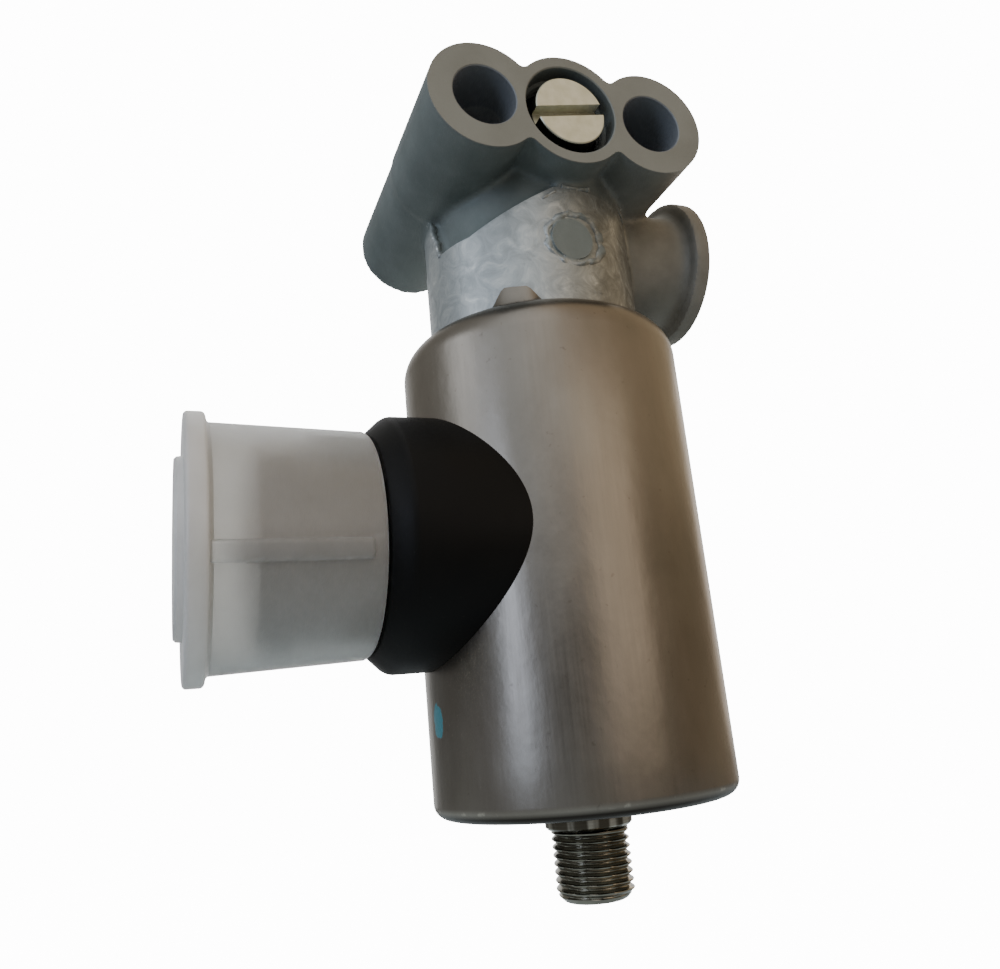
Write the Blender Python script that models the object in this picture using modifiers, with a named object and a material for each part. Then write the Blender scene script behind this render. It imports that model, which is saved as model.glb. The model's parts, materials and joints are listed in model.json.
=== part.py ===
"""ABS solenoid valve: die-cast body on two mounting sleeves, drawn steel can with the coil,
hollow threaded stud, and a bayonet connector under its push-on dust cap.

Frame: the origin is the middle of the mounting face, between the two bolt holes, and +Y points
out of that face. The shell's axis is parallel to Z with the stud down, the connector points to
-X and the air port to +X. Heights below are measured up from the shell's closed end, and
distances along Y from the shell's axis, so one parent empty carries all of it to the frame.
"""

import math

import bmesh
import bpy
from mathutils import Matrix, Vector

MM = 0.001
SEAT = 0.3 * MM                       # left between two pieces that touch on the real valve
RUNNING_GAP = 0.4 * MM                # armature in its guide tube

# connector, its collar and dust cap
CONNECTOR_HEIGHT = 35.3 * MM          # axis above the can's closed end
STEM_INSET = 2.9 * MM
STEM_STANDOFF = 0.5 * MM              # the housing's wide part stands off the can's side
BAYONET_RADIUS = 12.4 * MM
BAYONET_WALL = 2.1 * MM
BAYONET_OUT = 22.5 * MM               # these four reach out from the can's side
SOCKET_FLOOR_OUT = 8.5 * MM
LUG_RISE = 0.8 * MM
LUG_LENGTH = 3.0 * MM
LUG_WIDTH = 5.0 * MM
LUG_COUNT = 3
PIN_RADIUS = 1.25 * MM
PIN_OUT = 18.5 * MM
PIN_PITCH = 9.0 * MM
COLLAR_RISE = 4.47 * MM               # round the bayonet
COLLAR_OUT = 7.75 * MM
COLLAR_CHAMFER = 2.4 * MM
CAP_RISE = 2.4 * MM                   # round the bayonet, over its lugs
CAP_DRAFT = 0.65 * MM
CAP_WALL = 1.2 * MM
CAP_LENGTH = 22.4 * MM                # from the collar's face to the flanged end
CAP_FLANGE_RISE = 1.3 * MM
CAP_FLANGE_WIDTH = 2.5 * MM
CAP_PAD_INSET = 1.2 * MM
CAP_PAD_RISE = 1.0 * MM
CAP_RIB_WIDTH = 2.4 * MM
CAP_RIB_RISE = 0.5 * MM
CAP_RIB_TURN = math.radians(13)       # the rib sits a little below the cap's side

# drawn can round the coil
SHELL_RADIUS = 20.0 * MM
SHELL_WALL = 1.5 * MM
SHELL_SHOULDER = 5.0 * MM             # outer radius of the rolled shoulder
SHELL_CORNER = 2.5 * MM               # outer radius at the closed end
STEM_TO_BODY = 7.8 * MM               # from the connector's stem up to the cast body
TAB_WIDTH = 7.0 * MM                  # staked tab on the rolled edge
TAB_RISE = 2.3 * MM
TAB_ANGLE = math.radians(-118)

# cast body
ROLLED_OVER = 4.5 * MM                # how far the shoulder reaches in to the neck
FLANGE_THICKNESS = 12.4 * MM          # from its underside to the crest of the rolled shoulder
NECK_LENGTH = 26.9 * MM               # from that crest to the axis of the sleeves
SLEEVE_PITCH = 25.4 * MM              # between the two bolt holes
SLEEVE_RADIUS = 8.0 * MM
SLEEVE_FRONT_OUT = 0.1 * MM           # the sleeves' ends reach past the can's sides
SLEEVE_REAR_OUT = 1.7 * MM
SLEEVE_EDGE = 0.5 * MM                # broken edge of the cast ends
BOLT_HOLE_RADIUS = 4.5 * MM           # clearance for M8
BOSS_RADIUS = 8.4 * MM
LOBE_FILLET = 1.5 * MM
FLARE_LENGTH = 10.6 * MM              # where the neck flares to the left sleeve
FLARE_INSET = 1.0 * MM
FLARE_SHIFT = -4.0 * MM
GATE_PAD_RADIUS = 3.6 * MM            # trimmed casting gate on the neck
GATE_PAD_DROP = 18.7 * MM             # below the axis of the sleeves
GATE_PAD_RISE = 0.5 * MM
FLANGE_GROOVE = 2.5 * MM              # for the seal against the can
FLANGE_GROOVE_DEPTH = 2.2 * MM
FLANGE_LIP = 2.6 * MM
TUBE_GROOVE = 1.5 * MM                # for the seal against the guide tube

# air port
PORT_DROP = 12.3 * MM                 # below the axis of the sleeves
PORT_NECK_RADIUS = 8.9 * MM
PORT_FLANGE_RADIUS = 11.5 * MM
PORT_FLANGE_WIDTH = 2.4 * MM
PORT_OUT = 5.9 * MM                   # from the can's side to the flange's face
PORT_BORE_RADIUS = 7.2 * MM
PORT_BORE_DEPTH = 12.5 * MM
PORT_CHAMFER = 0.8 * MM
PORT_PASSAGE_RADIUS = 2.5 * MM
FILTER_RIM = 2.4 * MM
FILTER_RIM_WALL = 1.0 * MM
FILTER_SHEET = 0.8 * MM
FILTER_HOLE_RADIUS = 0.7 * MM

# delivery bore in the middle boss, closed by a slotted plug
PLUG_RADIUS = 5.9 * MM
PLUG_FACE_RADIUS = 5.2 * MM
PLUG_INSET = 0.2 * MM
PLUG_LENGTH = 11.0 * MM
PLUG_CHAMFER = 0.8 * MM
PLUG_SLOT_WIDTH = 1.7 * MM
PLUG_SLOT_DEPTH = 1.8 * MM
PLUG_TURN = math.radians(12)
PLUG_GROOVE = 1.6 * MM
PLUG_GROOVE_DEPTH = 1.3 * MM
PLUG_GROOVE_START = 7.0 * MM
BORE_MOUTH_RADIUS = 6.75 * MM
CROSS_BORE_RADIUS = 4.0 * MM
CROSS_BORE_PAST_OUTLET = 3.2 * MM     # its blind end, short of the mounting face
DELIVERY_RADIUS = 1.5 * MM            # slanting drilling from the bore to the mounting face
DELIVERY_DROP = 5.2 * MM              # its mouth below the sleeves' axis
FACE_SEAL_RADIUS = 2.7 * MM
FACE_SEAL_DEPTH = 1.1 * MM

# valve seat and passages
SEAT_BODY_RADIUS = 3.2 * MM
SEAT_TIP_LENGTH = 2.4 * MM
SEAT_BODY_LENGTH = 5.6 * MM
SEAT_ORIFICE_RADIUS = 0.9 * MM
SEAT_LAND = 0.6 * MM
CHAMBER_RADIUS = 6.6 * MM
CHAMBER_HEIGHT = 4.4 * MM             # above the body's underside
INLET_PASSAGE_RADIUS = 2.0 * MM
OUTLET_PASSAGE_RADIUS = 1.2 * MM
OUTLET_PASSAGE_OFFSET = 5.3 * MM

# fixed core with the hollow stud
STUD_RADIUS = 4.94 * MM               # M10 x 1
STUD_LENGTH = 11.5 * MM
STUD_CHAMFER = 0.7 * MM
THREAD_RUNOUT = 0.35 * MM
CONE_RADIUS = 5.8 * MM                # plain neck that passes through the can
CONE_LENGTH = 3.4 * MM
BASE_STEP = 3.0 * MM
BASE_THICKNESS = 3.2 * MM
BASE_GROOVE = 1.6 * MM
BASE_GROOVE_DEPTH = 1.2 * MM
VENT_RADIUS = 1.25 * MM
NOZZLE_RADIUS = 1.9 * MM
NOZZLE_RISE = 0.5 * MM
CORE_GROOVE = 1.7 * MM
CORE_GROOVE_DEPTH = 1.3 * MM
CORE_GROOVE_RISE = 2.6 * MM           # middle of the groove above the core's base

# guide tube, armature and its spring
TUBE_WALL = 0.6 * MM
TUBE_REACH = 2.5 * MM                 # into the cast body
ARMATURE_LENGTH = 15.0 * MM           # from its step to its upper face
ARMATURE_NOSE_STEP = 1.9 * MM
ARMATURE_CHAMFER = 0.5 * MM
STROKE = 1.5 * MM
SLOT_WIDTH = 1.6 * MM
SLOT_DEPTH = 0.8 * MM
SEAL_INSET = 1.6 * MM                 # rim of the armature round each seal
SEAL_THICKNESS = 2.0 * MM
SEAL_PROUD = 0.2 * MM
SPRING_SPACE = 9.0 * MM
SPRING_WIRE_RADIUS = 0.4 * MM
SPRING_INSET = 1.05 * MM              # from the core's side to the wire's middle
SPRING_TURNS = 5

# coil
CORE_SHARE = 0.325                    # of the can's radius
COVER_SHARE = 0.095
BOBBIN_WALL = 1.0 * MM
BOBBIN_FLANGE = 1.5 * MM
WINDING_INSET = 0.6 * MM
WINDING_RIPPLE = 0.3 * MM
POLE_PLATE = 4.9 * MM

# sizes that follow from the ones above
STEM_RADIUS = BAYONET_RADIUS - STEM_INSET
COLLAR_RADIUS = BAYONET_RADIUS + COLLAR_RISE
CAP_MOUTH_RADIUS = BAYONET_RADIUS + CAP_RISE
CAP_ROOT_RADIUS = CAP_MOUTH_RADIUS + CAP_DRAFT
CAP_FLANGE_RADIUS = CAP_ROOT_RADIUS + CAP_FLANGE_RISE
CAP_PAD_RADIUS = BAYONET_RADIUS - CAP_PAD_INSET
STEM_SHOULDER = -SHELL_RADIUS - STEM_STANDOFF
BAYONET_FRONT = -SHELL_RADIUS - BAYONET_OUT
SOCKET_FLOOR = -SHELL_RADIUS - SOCKET_FLOOR_OUT
PIN_TIP = -SHELL_RADIUS - PIN_OUT
COLLAR_FACE = -SHELL_RADIUS - COLLAR_OUT
CAP_END = COLLAR_FACE - CAP_LENGTH
SLEEVE_FRONT = -SHELL_RADIUS - SLEEVE_FRONT_OUT
SLEEVE_REAR = SHELL_RADIUS + SLEEVE_REAR_OUT
PORT_REACH = SHELL_RADIUS + PORT_OUT
PLUG_FACE = SLEEVE_FRONT + PLUG_INSET
CROSS_BORE_END = OUTLET_PASSAGE_OFFSET + CROSS_BORE_PAST_OUTLET
CORE_RADIUS = CORE_SHARE * SHELL_RADIUS
COVER_WALL = COVER_SHARE * SHELL_RADIUS
BASE_RADIUS = CORE_RADIUS + BASE_STEP
ARMATURE_NOSE_RADIUS = CORE_RADIUS - ARMATURE_NOSE_STEP
SEAL_RADIUS = ARMATURE_NOSE_RADIUS - SEAL_INSET
SPRING_RADIUS = CORE_RADIUS - SPRING_INSET
NECK_RADIUS = SHELL_RADIUS - ROLLED_OVER
BODY_FACE = CONNECTOR_HEIGHT + STEM_RADIUS + STEM_TO_BODY
SHELL_TOP = BODY_FACE + FLANGE_THICKNESS
SLEEVE_HEIGHT = SHELL_TOP + NECK_LENGTH
PORT_HEIGHT = SLEEVE_HEIGHT - PORT_DROP
GATE_PAD_HEIGHT = SLEEVE_HEIGHT - GATE_PAD_DROP
FLARE_TOP = SLEEVE_HEIGHT - SLEEVE_RADIUS / 2
FLARE_FOOT = FLARE_TOP - FLARE_LENGTH
ARMATURE_TOP = BODY_FACE
ARMATURE_STEP = ARMATURE_TOP - ARMATURE_LENGTH
CORE_TOP = ARMATURE_STEP - SPRING_SPACE
SEAT_TIP = ARMATURE_TOP + SEAL_PROUD + SEAT
SEAT_BODY_BOTTOM = SEAT_TIP + SEAT_TIP_LENGTH
SEAT_BODY_TOP = SEAT_BODY_BOTTOM + SEAT_BODY_LENGTH
CHAMBER_TOP = BODY_FACE + CHAMBER_HEIGHT
TUBE_TOP = BODY_FACE + TUBE_REACH
STUD_END = -STUD_LENGTH
TUBE_INNER = CORE_RADIUS + RUNNING_GAP
TUBE_OUTER = TUBE_INNER + TUBE_WALL
TUBE_BORE = TUBE_OUTER + SEAT
SHELL_INNER = SHELL_RADIUS - SHELL_WALL
COIL_OUTER = SHELL_INNER - SEAT
BOBBIN_FLANGE_RADIUS = COIL_OUTER - COVER_WALL - SEAT
WINDING_RADIUS = BOBBIN_FLANGE_RADIUS - WINDING_INSET
STEM_END = -WINDING_RADIUS - 2 * SEAT
PIN_TAIL = STEM_END + SEAT
CORE_GROOVE_HEIGHT = SHELL_WALL + SEAT + BASE_THICKNESS + CORE_GROOVE_RISE
BASE_BOTTOM = SHELL_WALL + SEAT
BASE_TOP = BASE_BOTTOM + BASE_THICKNESS
BOBBIN_BOTTOM = BASE_TOP + SEAT
PLATE_TOP = BODY_FACE - SEAT
PLATE_BOTTOM = PLATE_TOP - POLE_PLATE
BOBBIN_TOP = PLATE_BOTTOM - SEAT
ARMATURE_BOTTOM = CORE_TOP + NOZZLE_RISE + SEAT + STROKE + SEAL_PROUD
CAP_MOUTH = COLLAR_FACE - SEAT

ROUND = 40                            # sides of the large visible turned pieces
MEDIUM = 32                           # sides of the lobes, the port and the inner pieces
SMALL = 20                            # sides of small pieces and drilled holes

TO_AXIS = {
    "Z": (0, 0, 0),
    "X": (0, math.pi / 2, 0),
    "-X": (0, -math.pi / 2, 0),
    "Y": (-math.pi / 2, 0, 0),
}


def clear_scene():
    for obj in list(bpy.data.objects):
        bpy.data.objects.remove(obj, do_unlink=True)


def new_collection(name):
    made = bpy.data.collections.new(name)
    bpy.context.scene.collection.children.link(made)
    return made


clear_scene()
VALVE = new_collection("abs_solenoid_valve")
TOOLS = new_collection("cutters")


def finish(name, colour, roughness, metallic=0.0):
    made = bpy.data.materials.new(name)
    made.use_nodes = True
    shader = made.node_tree.nodes["Principled BSDF"]
    shader.inputs["Base Color"].default_value = (*colour, 1.0)
    shader.inputs["Roughness"].default_value = roughness
    shader.inputs["Metallic"].default_value = metallic
    return made


CAST = finish("die_cast_aluminium", (0.25, 0.27, 0.28), 0.55, 0.8)
CAN = finish("passivated_steel", (0.28, 0.25, 0.21), 0.32, 1.0)
STEEL = finish("turned_steel", (0.30, 0.29, 0.27), 0.35, 1.0)
NICKEL = finish("nickel_plate", (0.66, 0.65, 0.58), 0.35, 1.0)
BRASS = finish("brass", (0.60, 0.45, 0.20), 0.3, 1.0)
COPPER = finish("enamelled_copper", (0.55, 0.22, 0.08), 0.35, 1.0)
BLACK_PLASTIC = finish("black_polyamide", (0.02, 0.02, 0.02), 0.5)
NATURAL_PLASTIC = finish("natural_polyamide", (0.55, 0.50, 0.40), 0.5)
RUBBER = finish("nitrile_rubber", (0.015, 0.015, 0.015), 0.7)
CLOUDY_PLASTIC = finish("cloudy_polythene", (0.72, 0.72, 0.68), 0.4)


def arc(centre_radius, centre_height, radius, start, end, steps):
    """Points on a circle in the profile plane, from one angle to another in radians."""
    points = []
    for step in range(steps + 1):
        angle = start + (end - start) * step / steps
        points.append(
            (centre_radius + radius * math.cos(angle), centre_height + radius * math.sin(angle))
        )
    return points


def place(obj, collection, material=None):
    for holder in list(obj.users_collection):
        holder.objects.unlink(obj)
    collection.objects.link(obj)
    if material:
        obj.data.materials.clear()
        obj.data.materials.append(material)
    return obj


def turned(name, profile, steps=MEDIUM, axis="Z", at=(0, 0, 0), ring=False, material=None):
    """A turned piece from (radius, distance) points, listed down the outer side.

    A ring's profile is a closed loop, and a solid's starts and ends on the axis."""
    mesh = bpy.data.meshes.new(name)
    shape = bmesh.new()
    corners = [shape.verts.new((radius, 0, height)) for radius, height in profile]
    for first, second in zip(corners, corners[1:]):
        shape.edges.new((first, second))
    if ring:
        shape.edges.new((corners[-1], corners[0]))
    shape.to_mesh(mesh)
    shape.free()
    obj = bpy.data.objects.new(name, mesh)
    place(obj, VALVE if material else TOOLS, material)
    obj.location = at
    obj.rotation_euler = TO_AXIS[axis]
    screw = obj.modifiers.new("turn", "SCREW")
    screw.axis = "Z"
    screw.steps = steps
    screw.render_steps = steps
    screw.use_merge_vertices = not ring
    screw.merge_threshold = 0.00001
    screw.use_smooth_shade = True
    return obj


def torus_seal(name, ring_radius, section_radius, centre, axis="Z"):
    """An O-ring, turned from its round section."""
    section = arc(ring_radius, 0, section_radius, math.pi / 2, -3 * math.pi / 2, 6)[:-1]
    return turned(name, section, steps=SMALL, axis=axis, at=centre, ring=True, material=RUBBER)


def as_tool(obj):
    obj.hide_render = True
    obj.display_type = "WIRE"
    return place(obj, TOOLS)


def rod(radius, start, end, sides=SMALL):
    """A plain cylinder between two points, kept as a helper for cuts and joins."""
    start = Vector(start)
    end = Vector(end)
    span = end - start
    bpy.ops.mesh.primitive_cylinder_add(vertices=sides, radius=radius, depth=span.length)
    obj = bpy.context.object
    turn = Vector((0, 0, 1)).rotation_difference(span.normalized())
    obj.matrix_world = Matrix.Translation((start + end) / 2) @ turn.to_matrix().to_4x4()
    return as_tool(obj)


def block(size, centre, turn=(0, 0, 0)):
    """A box used as a helper, with its size applied."""
    bpy.ops.mesh.primitive_cube_add(size=1)
    obj = bpy.context.object
    obj.data.transform(Matrix.Diagonal((*size, 1)))
    obj.location = centre
    obj.rotation_euler = turn
    return as_tool(obj)


def combine(target, tool, operation):
    modifier = target.modifiers.new(operation.lower(), "BOOLEAN")
    modifier.operation = operation
    modifier.object = tool
    as_tool(tool)


def cut(target, *tools):
    for tool in tools:
        combine(target, tool, "DIFFERENCE")


def join(target, *tools):
    for tool in tools:
        combine(target, tool, "UNION")


def loft(lower, upper):
    """A closed frustum between two elliptic rings: (centre x, half x, half y, height) each."""
    mesh = bpy.data.meshes.new("loft")
    shape = bmesh.new()
    rings = []
    for centre, half_x, half_y, height in (lower, upper):
        ring = []
        for side in range(MEDIUM):
            angle = 2 * math.pi * side / MEDIUM
            x = centre + half_x * math.cos(angle)
            ring.append(shape.verts.new((x, half_y * math.sin(angle), height)))
        rings.append(ring)
    below, above = rings
    for side in range(MEDIUM):
        after = (side + 1) % MEDIUM
        shape.faces.new((below[side], below[after], above[after], above[side]))
    shape.faces.new(list(reversed(below)))
    shape.faces.new(above)
    shape.to_mesh(mesh)
    shape.free()
    obj = bpy.data.objects.new("loft", mesh)
    TOOLS.objects.link(obj)
    return as_tool(obj)


def lobe_outline():
    """The cast end face: two sleeves and the middle boss as one outline, with filleted notches."""
    pitch = SLEEVE_PITCH / 2
    to_boss = BOSS_RADIUS + LOBE_FILLET
    to_sleeve = SLEEVE_RADIUS + LOBE_FILLET
    notch_x = (pitch**2 + to_boss**2 - to_sleeve**2) / (2 * pitch)
    notch_z = math.sqrt(to_boss**2 - notch_x**2)
    on_boss = math.atan2(notch_z, notch_x)
    on_sleeve = math.atan2(notch_z, notch_x - pitch)
    half = math.pi
    right = arc(pitch, 0, SLEEVE_RADIUS, -on_sleeve, on_sleeve, 16)
    upper_right = arc(notch_x, notch_z, LOBE_FILLET, on_sleeve + half, on_boss + half, 4)
    top = arc(0, 0, BOSS_RADIUS, on_boss, half - on_boss, 6)
    upper_left = arc(-notch_x, notch_z, LOBE_FILLET, -on_boss, -on_sleeve, 4)
    left = arc(-pitch, 0, SLEEVE_RADIUS, half - on_sleeve, half + on_sleeve, 16)
    lower_left = arc(-notch_x, -notch_z, LOBE_FILLET, on_sleeve, on_boss, 4)
    bottom = arc(0, 0, BOSS_RADIUS, half + on_boss, 2 * half - on_boss, 6)
    lower_right = arc(notch_x, -notch_z, LOBE_FILLET, half - on_boss, half - on_sleeve, 4)
    pieces = (right, upper_right, top, upper_left, left, lower_left, bottom, lower_right)
    return [point for piece in pieces for point in piece[:-1]]


def lobes():
    """The lobes as a solid along Y, from a flat curve with its end edges broken."""
    outline = lobe_outline()
    curve = bpy.data.curves.new("lobes", "CURVE")
    curve.dimensions = "2D"
    curve.fill_mode = "BOTH"
    curve.extrude = (SLEEVE_REAR - SLEEVE_FRONT) / 2
    path = curve.splines.new("POLY")
    path.points.add(len(outline) - 1)
    path.use_cyclic_u = True
    for point, (x, z) in zip(path.points, outline):
        point.co = (x, z, 0, 1)
    flat = bpy.data.objects.new("lobes_outline", curve)
    TOOLS.objects.link(flat)
    bpy.context.view_layer.update()
    graph = bpy.context.evaluated_depsgraph_get()
    mesh = bpy.data.meshes.new_from_object(flat.evaluated_get(graph))
    bpy.data.objects.remove(flat, do_unlink=True)
    shape = bmesh.new()
    shape.from_mesh(mesh)
    bmesh.ops.remove_doubles(shape, verts=shape.verts, dist=0.000001)
    shape.to_mesh(mesh)
    shape.free()
    solid = bpy.data.objects.new("lobes", mesh)
    TOOLS.objects.link(solid)
    solid.location = (0, (SLEEVE_REAR + SLEEVE_FRONT) / 2, SLEEVE_HEIGHT)
    solid.rotation_euler = (math.pi / 2, 0, 0)
    edge = solid.modifiers.new("broken_edge", "BEVEL")
    edge.width = SLEEVE_EDGE
    edge.segments = 1
    edge.limit_method = "ANGLE"
    return as_tool(solid)


def valve_body():
    shoulder = SHELL_SHOULDER - SHELL_WALL - SEAT
    centre_radius = SHELL_RADIUS - SHELL_SHOULDER
    centre_height = SHELL_TOP - SHELL_SHOULDER
    meets_neck = math.acos((NECK_RADIUS - centre_radius) / shoulder)
    groove_bottom = BODY_FACE + FLANGE_LIP
    groove_top = groove_bottom + FLANGE_GROOVE
    groove_radius = COIL_OUTER - FLANGE_GROOVE_DEPTH
    neck_top = SLEEVE_HEIGHT - BOSS_RADIUS / 3
    profile = [(0, neck_top), (NECK_RADIUS, neck_top)]
    profile += arc(centre_radius, centre_height, shoulder, meets_neck, 0, 4)
    profile += [
        (COIL_OUTER, groove_top),
        (groove_radius, groove_top),
        (groove_radius, groove_bottom),
        (COIL_OUTER, groove_bottom),
        (COIL_OUTER, BODY_FACE),
        (0, BODY_FACE),
    ]
    body = turned("valve_body", profile, steps=ROUND, material=CAST)
    port = turned(
        "port_outside",
        [
            (0, PORT_REACH),
            (PORT_FLANGE_RADIUS, PORT_REACH),
            (PORT_FLANGE_RADIUS, PORT_REACH - PORT_FLANGE_WIDTH),
            (PORT_NECK_RADIUS, PORT_REACH - PORT_FLANGE_WIDTH),
            (PORT_NECK_RADIUS, NECK_RADIUS / 3),
            (0, NECK_RADIUS / 3),
        ],
        axis="X",
        at=(0, 0, PORT_HEIGHT),
    )
    inset = FLARE_INSET
    flare = loft(
        (-inset, NECK_RADIUS - 1.1 * inset, NECK_RADIUS - 1.5 * inset, FLARE_FOOT),
        (FLARE_SHIFT, NECK_RADIUS, NECK_RADIUS - 2 * inset, FLARE_TOP),
    )
    gate_pad = rod(
        GATE_PAD_RADIUS,
        (0, -NECK_RADIUS - GATE_PAD_RISE, GATE_PAD_HEIGHT),
        (0, -NECK_RADIUS / 2, GATE_PAD_HEIGHT),
    )
    join(
        body,
        flare,
        lobes(),
        port,
        gate_pad,
    )
    over = 1 * MM
    for side in (-1, 1):
        x = side * SLEEVE_PITCH / 2
        cut(
            body,
            rod(
                BOLT_HOLE_RADIUS,
                (x, SLEEVE_FRONT - over, SLEEVE_HEIGHT),
                (x, SLEEVE_REAR + over, SLEEVE_HEIGHT),
                24,
            ),
        )
    port_bore = [
        (0, PORT_REACH + over),
        (PORT_BORE_RADIUS + PORT_CHAMFER + over, PORT_REACH + over),
        (PORT_BORE_RADIUS, PORT_REACH - PORT_CHAMFER),
        (PORT_BORE_RADIUS, PORT_REACH - PORT_BORE_DEPTH),
        (PORT_PASSAGE_RADIUS, PORT_REACH - PORT_BORE_DEPTH),
        (PORT_PASSAGE_RADIUS, -INLET_PASSAGE_RADIUS),
        (0, -INLET_PASSAGE_RADIUS),
    ]
    plug_bore = PLUG_RADIUS + SEAT
    plug_end = PLUG_FACE + PLUG_LENGTH + SEAT
    mouth = BORE_MOUTH_RADIUS - plug_bore
    cross_bore = [
        (0, CROSS_BORE_END),
        (CROSS_BORE_RADIUS, CROSS_BORE_END),
        (CROSS_BORE_RADIUS, plug_end),
        (plug_bore, plug_end),
        (plug_bore, SLEEVE_FRONT + mouth),
        (BORE_MOUTH_RADIUS + over, SLEEVE_FRONT - over),
        (0, SLEEVE_FRONT - over),
    ]
    seat_bore = SEAT_BODY_RADIUS + SEAT
    inlet_top = PORT_HEIGHT + PORT_PASSAGE_RADIUS / 4
    chamber = [
        (0, inlet_top),
        (INLET_PASSAGE_RADIUS, inlet_top),
        (INLET_PASSAGE_RADIUS, SEAT_BODY_TOP + SEAT),
        (seat_bore, SEAT_BODY_TOP + SEAT),
        (seat_bore, CHAMBER_TOP),
        (CHAMBER_RADIUS, CHAMBER_TOP),
        (CHAMBER_RADIUS, TUBE_TOP + SEAT),
        (TUBE_BORE, TUBE_TOP + SEAT),
        (TUBE_BORE, BODY_FACE + TUBE_GROOVE),
        (TUBE_BORE + TUBE_GROOVE, BODY_FACE + TUBE_GROOVE),
        (TUBE_BORE + TUBE_GROOVE, BODY_FACE - over),
        (0, BODY_FACE - over),
    ]
    outlet = rod(
        OUTLET_PASSAGE_RADIUS,
        (0, OUTLET_PASSAGE_OFFSET, TUBE_TOP),
        (0, OUTLET_PASSAGE_OFFSET, SLEEVE_HEIGHT - CROSS_BORE_RADIUS / 2),
        12,
    )
    delivery = rod(
        DELIVERY_RADIUS,
        (0, CROSS_BORE_END - CROSS_BORE_RADIUS / 2, SLEEVE_HEIGHT - DELIVERY_RADIUS),
        (0, SLEEVE_REAR, SLEEVE_HEIGHT - DELIVERY_DROP),
        16,
    )
    face_seal_seat = rod(
        FACE_SEAL_RADIUS,
        (0, SLEEVE_REAR - FACE_SEAL_DEPTH, SLEEVE_HEIGHT - DELIVERY_DROP),
        (0, SLEEVE_REAR + over, SLEEVE_HEIGHT - DELIVERY_DROP),
    )
    cut(
        body,
        turned("port_bore", port_bore, steps=MEDIUM, axis="X", at=(0, 0, PORT_HEIGHT)),
        turned("cross_bore", cross_bore, steps=MEDIUM, axis="Y", at=(0, 0, SLEEVE_HEIGHT)),
        turned("chamber", chamber, steps=SMALL),
        outlet,
        delivery,
        face_seal_seat,
    )
    face_section = (FACE_SEAL_DEPTH - SEAT) / 2
    torus_seal(
        "face_oring",
        FACE_SEAL_RADIUS - SEAT - face_section,
        face_section,
        (0, SLEEVE_REAR - face_section, SLEEVE_HEIGHT - DELIVERY_DROP),
        axis="Y",
    )
    torus_seal(
        "body_oring",
        (groove_radius + COIL_OUTER + SEAT) / 2,
        (COIL_OUTER - groove_radius - SEAT) / 2,
        (0, 0, (groove_top + groove_bottom) / 2),
    )
    tube_section = (TUBE_GROOVE - SEAT) / 2
    torus_seal(
        "tube_oring", TUBE_BORE + tube_section, tube_section, (0, 0, BODY_FACE + TUBE_GROOVE / 2)
    )


def plug():
    groove_start = PLUG_FACE + PLUG_GROOVE_START
    groove_radius = PLUG_RADIUS - PLUG_GROOVE_DEPTH
    chamfer = PLUG_RADIUS - PLUG_FACE_RADIUS
    profile = [
        (0, PLUG_FACE + PLUG_LENGTH),
        (PLUG_RADIUS - PLUG_CHAMFER, PLUG_FACE + PLUG_LENGTH),
        (PLUG_RADIUS, PLUG_FACE + PLUG_LENGTH - PLUG_CHAMFER),
        (PLUG_RADIUS, groove_start + PLUG_GROOVE),
        (groove_radius, groove_start + PLUG_GROOVE),
        (groove_radius, groove_start),
        (PLUG_RADIUS, groove_start),
        (PLUG_RADIUS, PLUG_FACE + chamfer),
        (PLUG_FACE_RADIUS, PLUG_FACE),
        (0, PLUG_FACE),
    ]
    screw = turned(
        "plug_screw", profile, axis="Y", at=(0, 0, SLEEVE_HEIGHT), material=NICKEL
    )
    slot = block(
        (4 * PLUG_RADIUS, 2 * PLUG_SLOT_DEPTH, PLUG_SLOT_WIDTH),
        (0, PLUG_FACE, SLEEVE_HEIGHT),
        (0, -PLUG_TURN, 0),
    )
    cut(screw, slot)
    section = (PLUG_RADIUS - groove_radius - SEAT) / 2
    torus_seal(
        "plug_oring",
        groove_radius + SEAT + section,
        section,
        (0, groove_start + PLUG_GROOVE / 2, SLEEVE_HEIGHT),
        axis="Y",
    )


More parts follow.
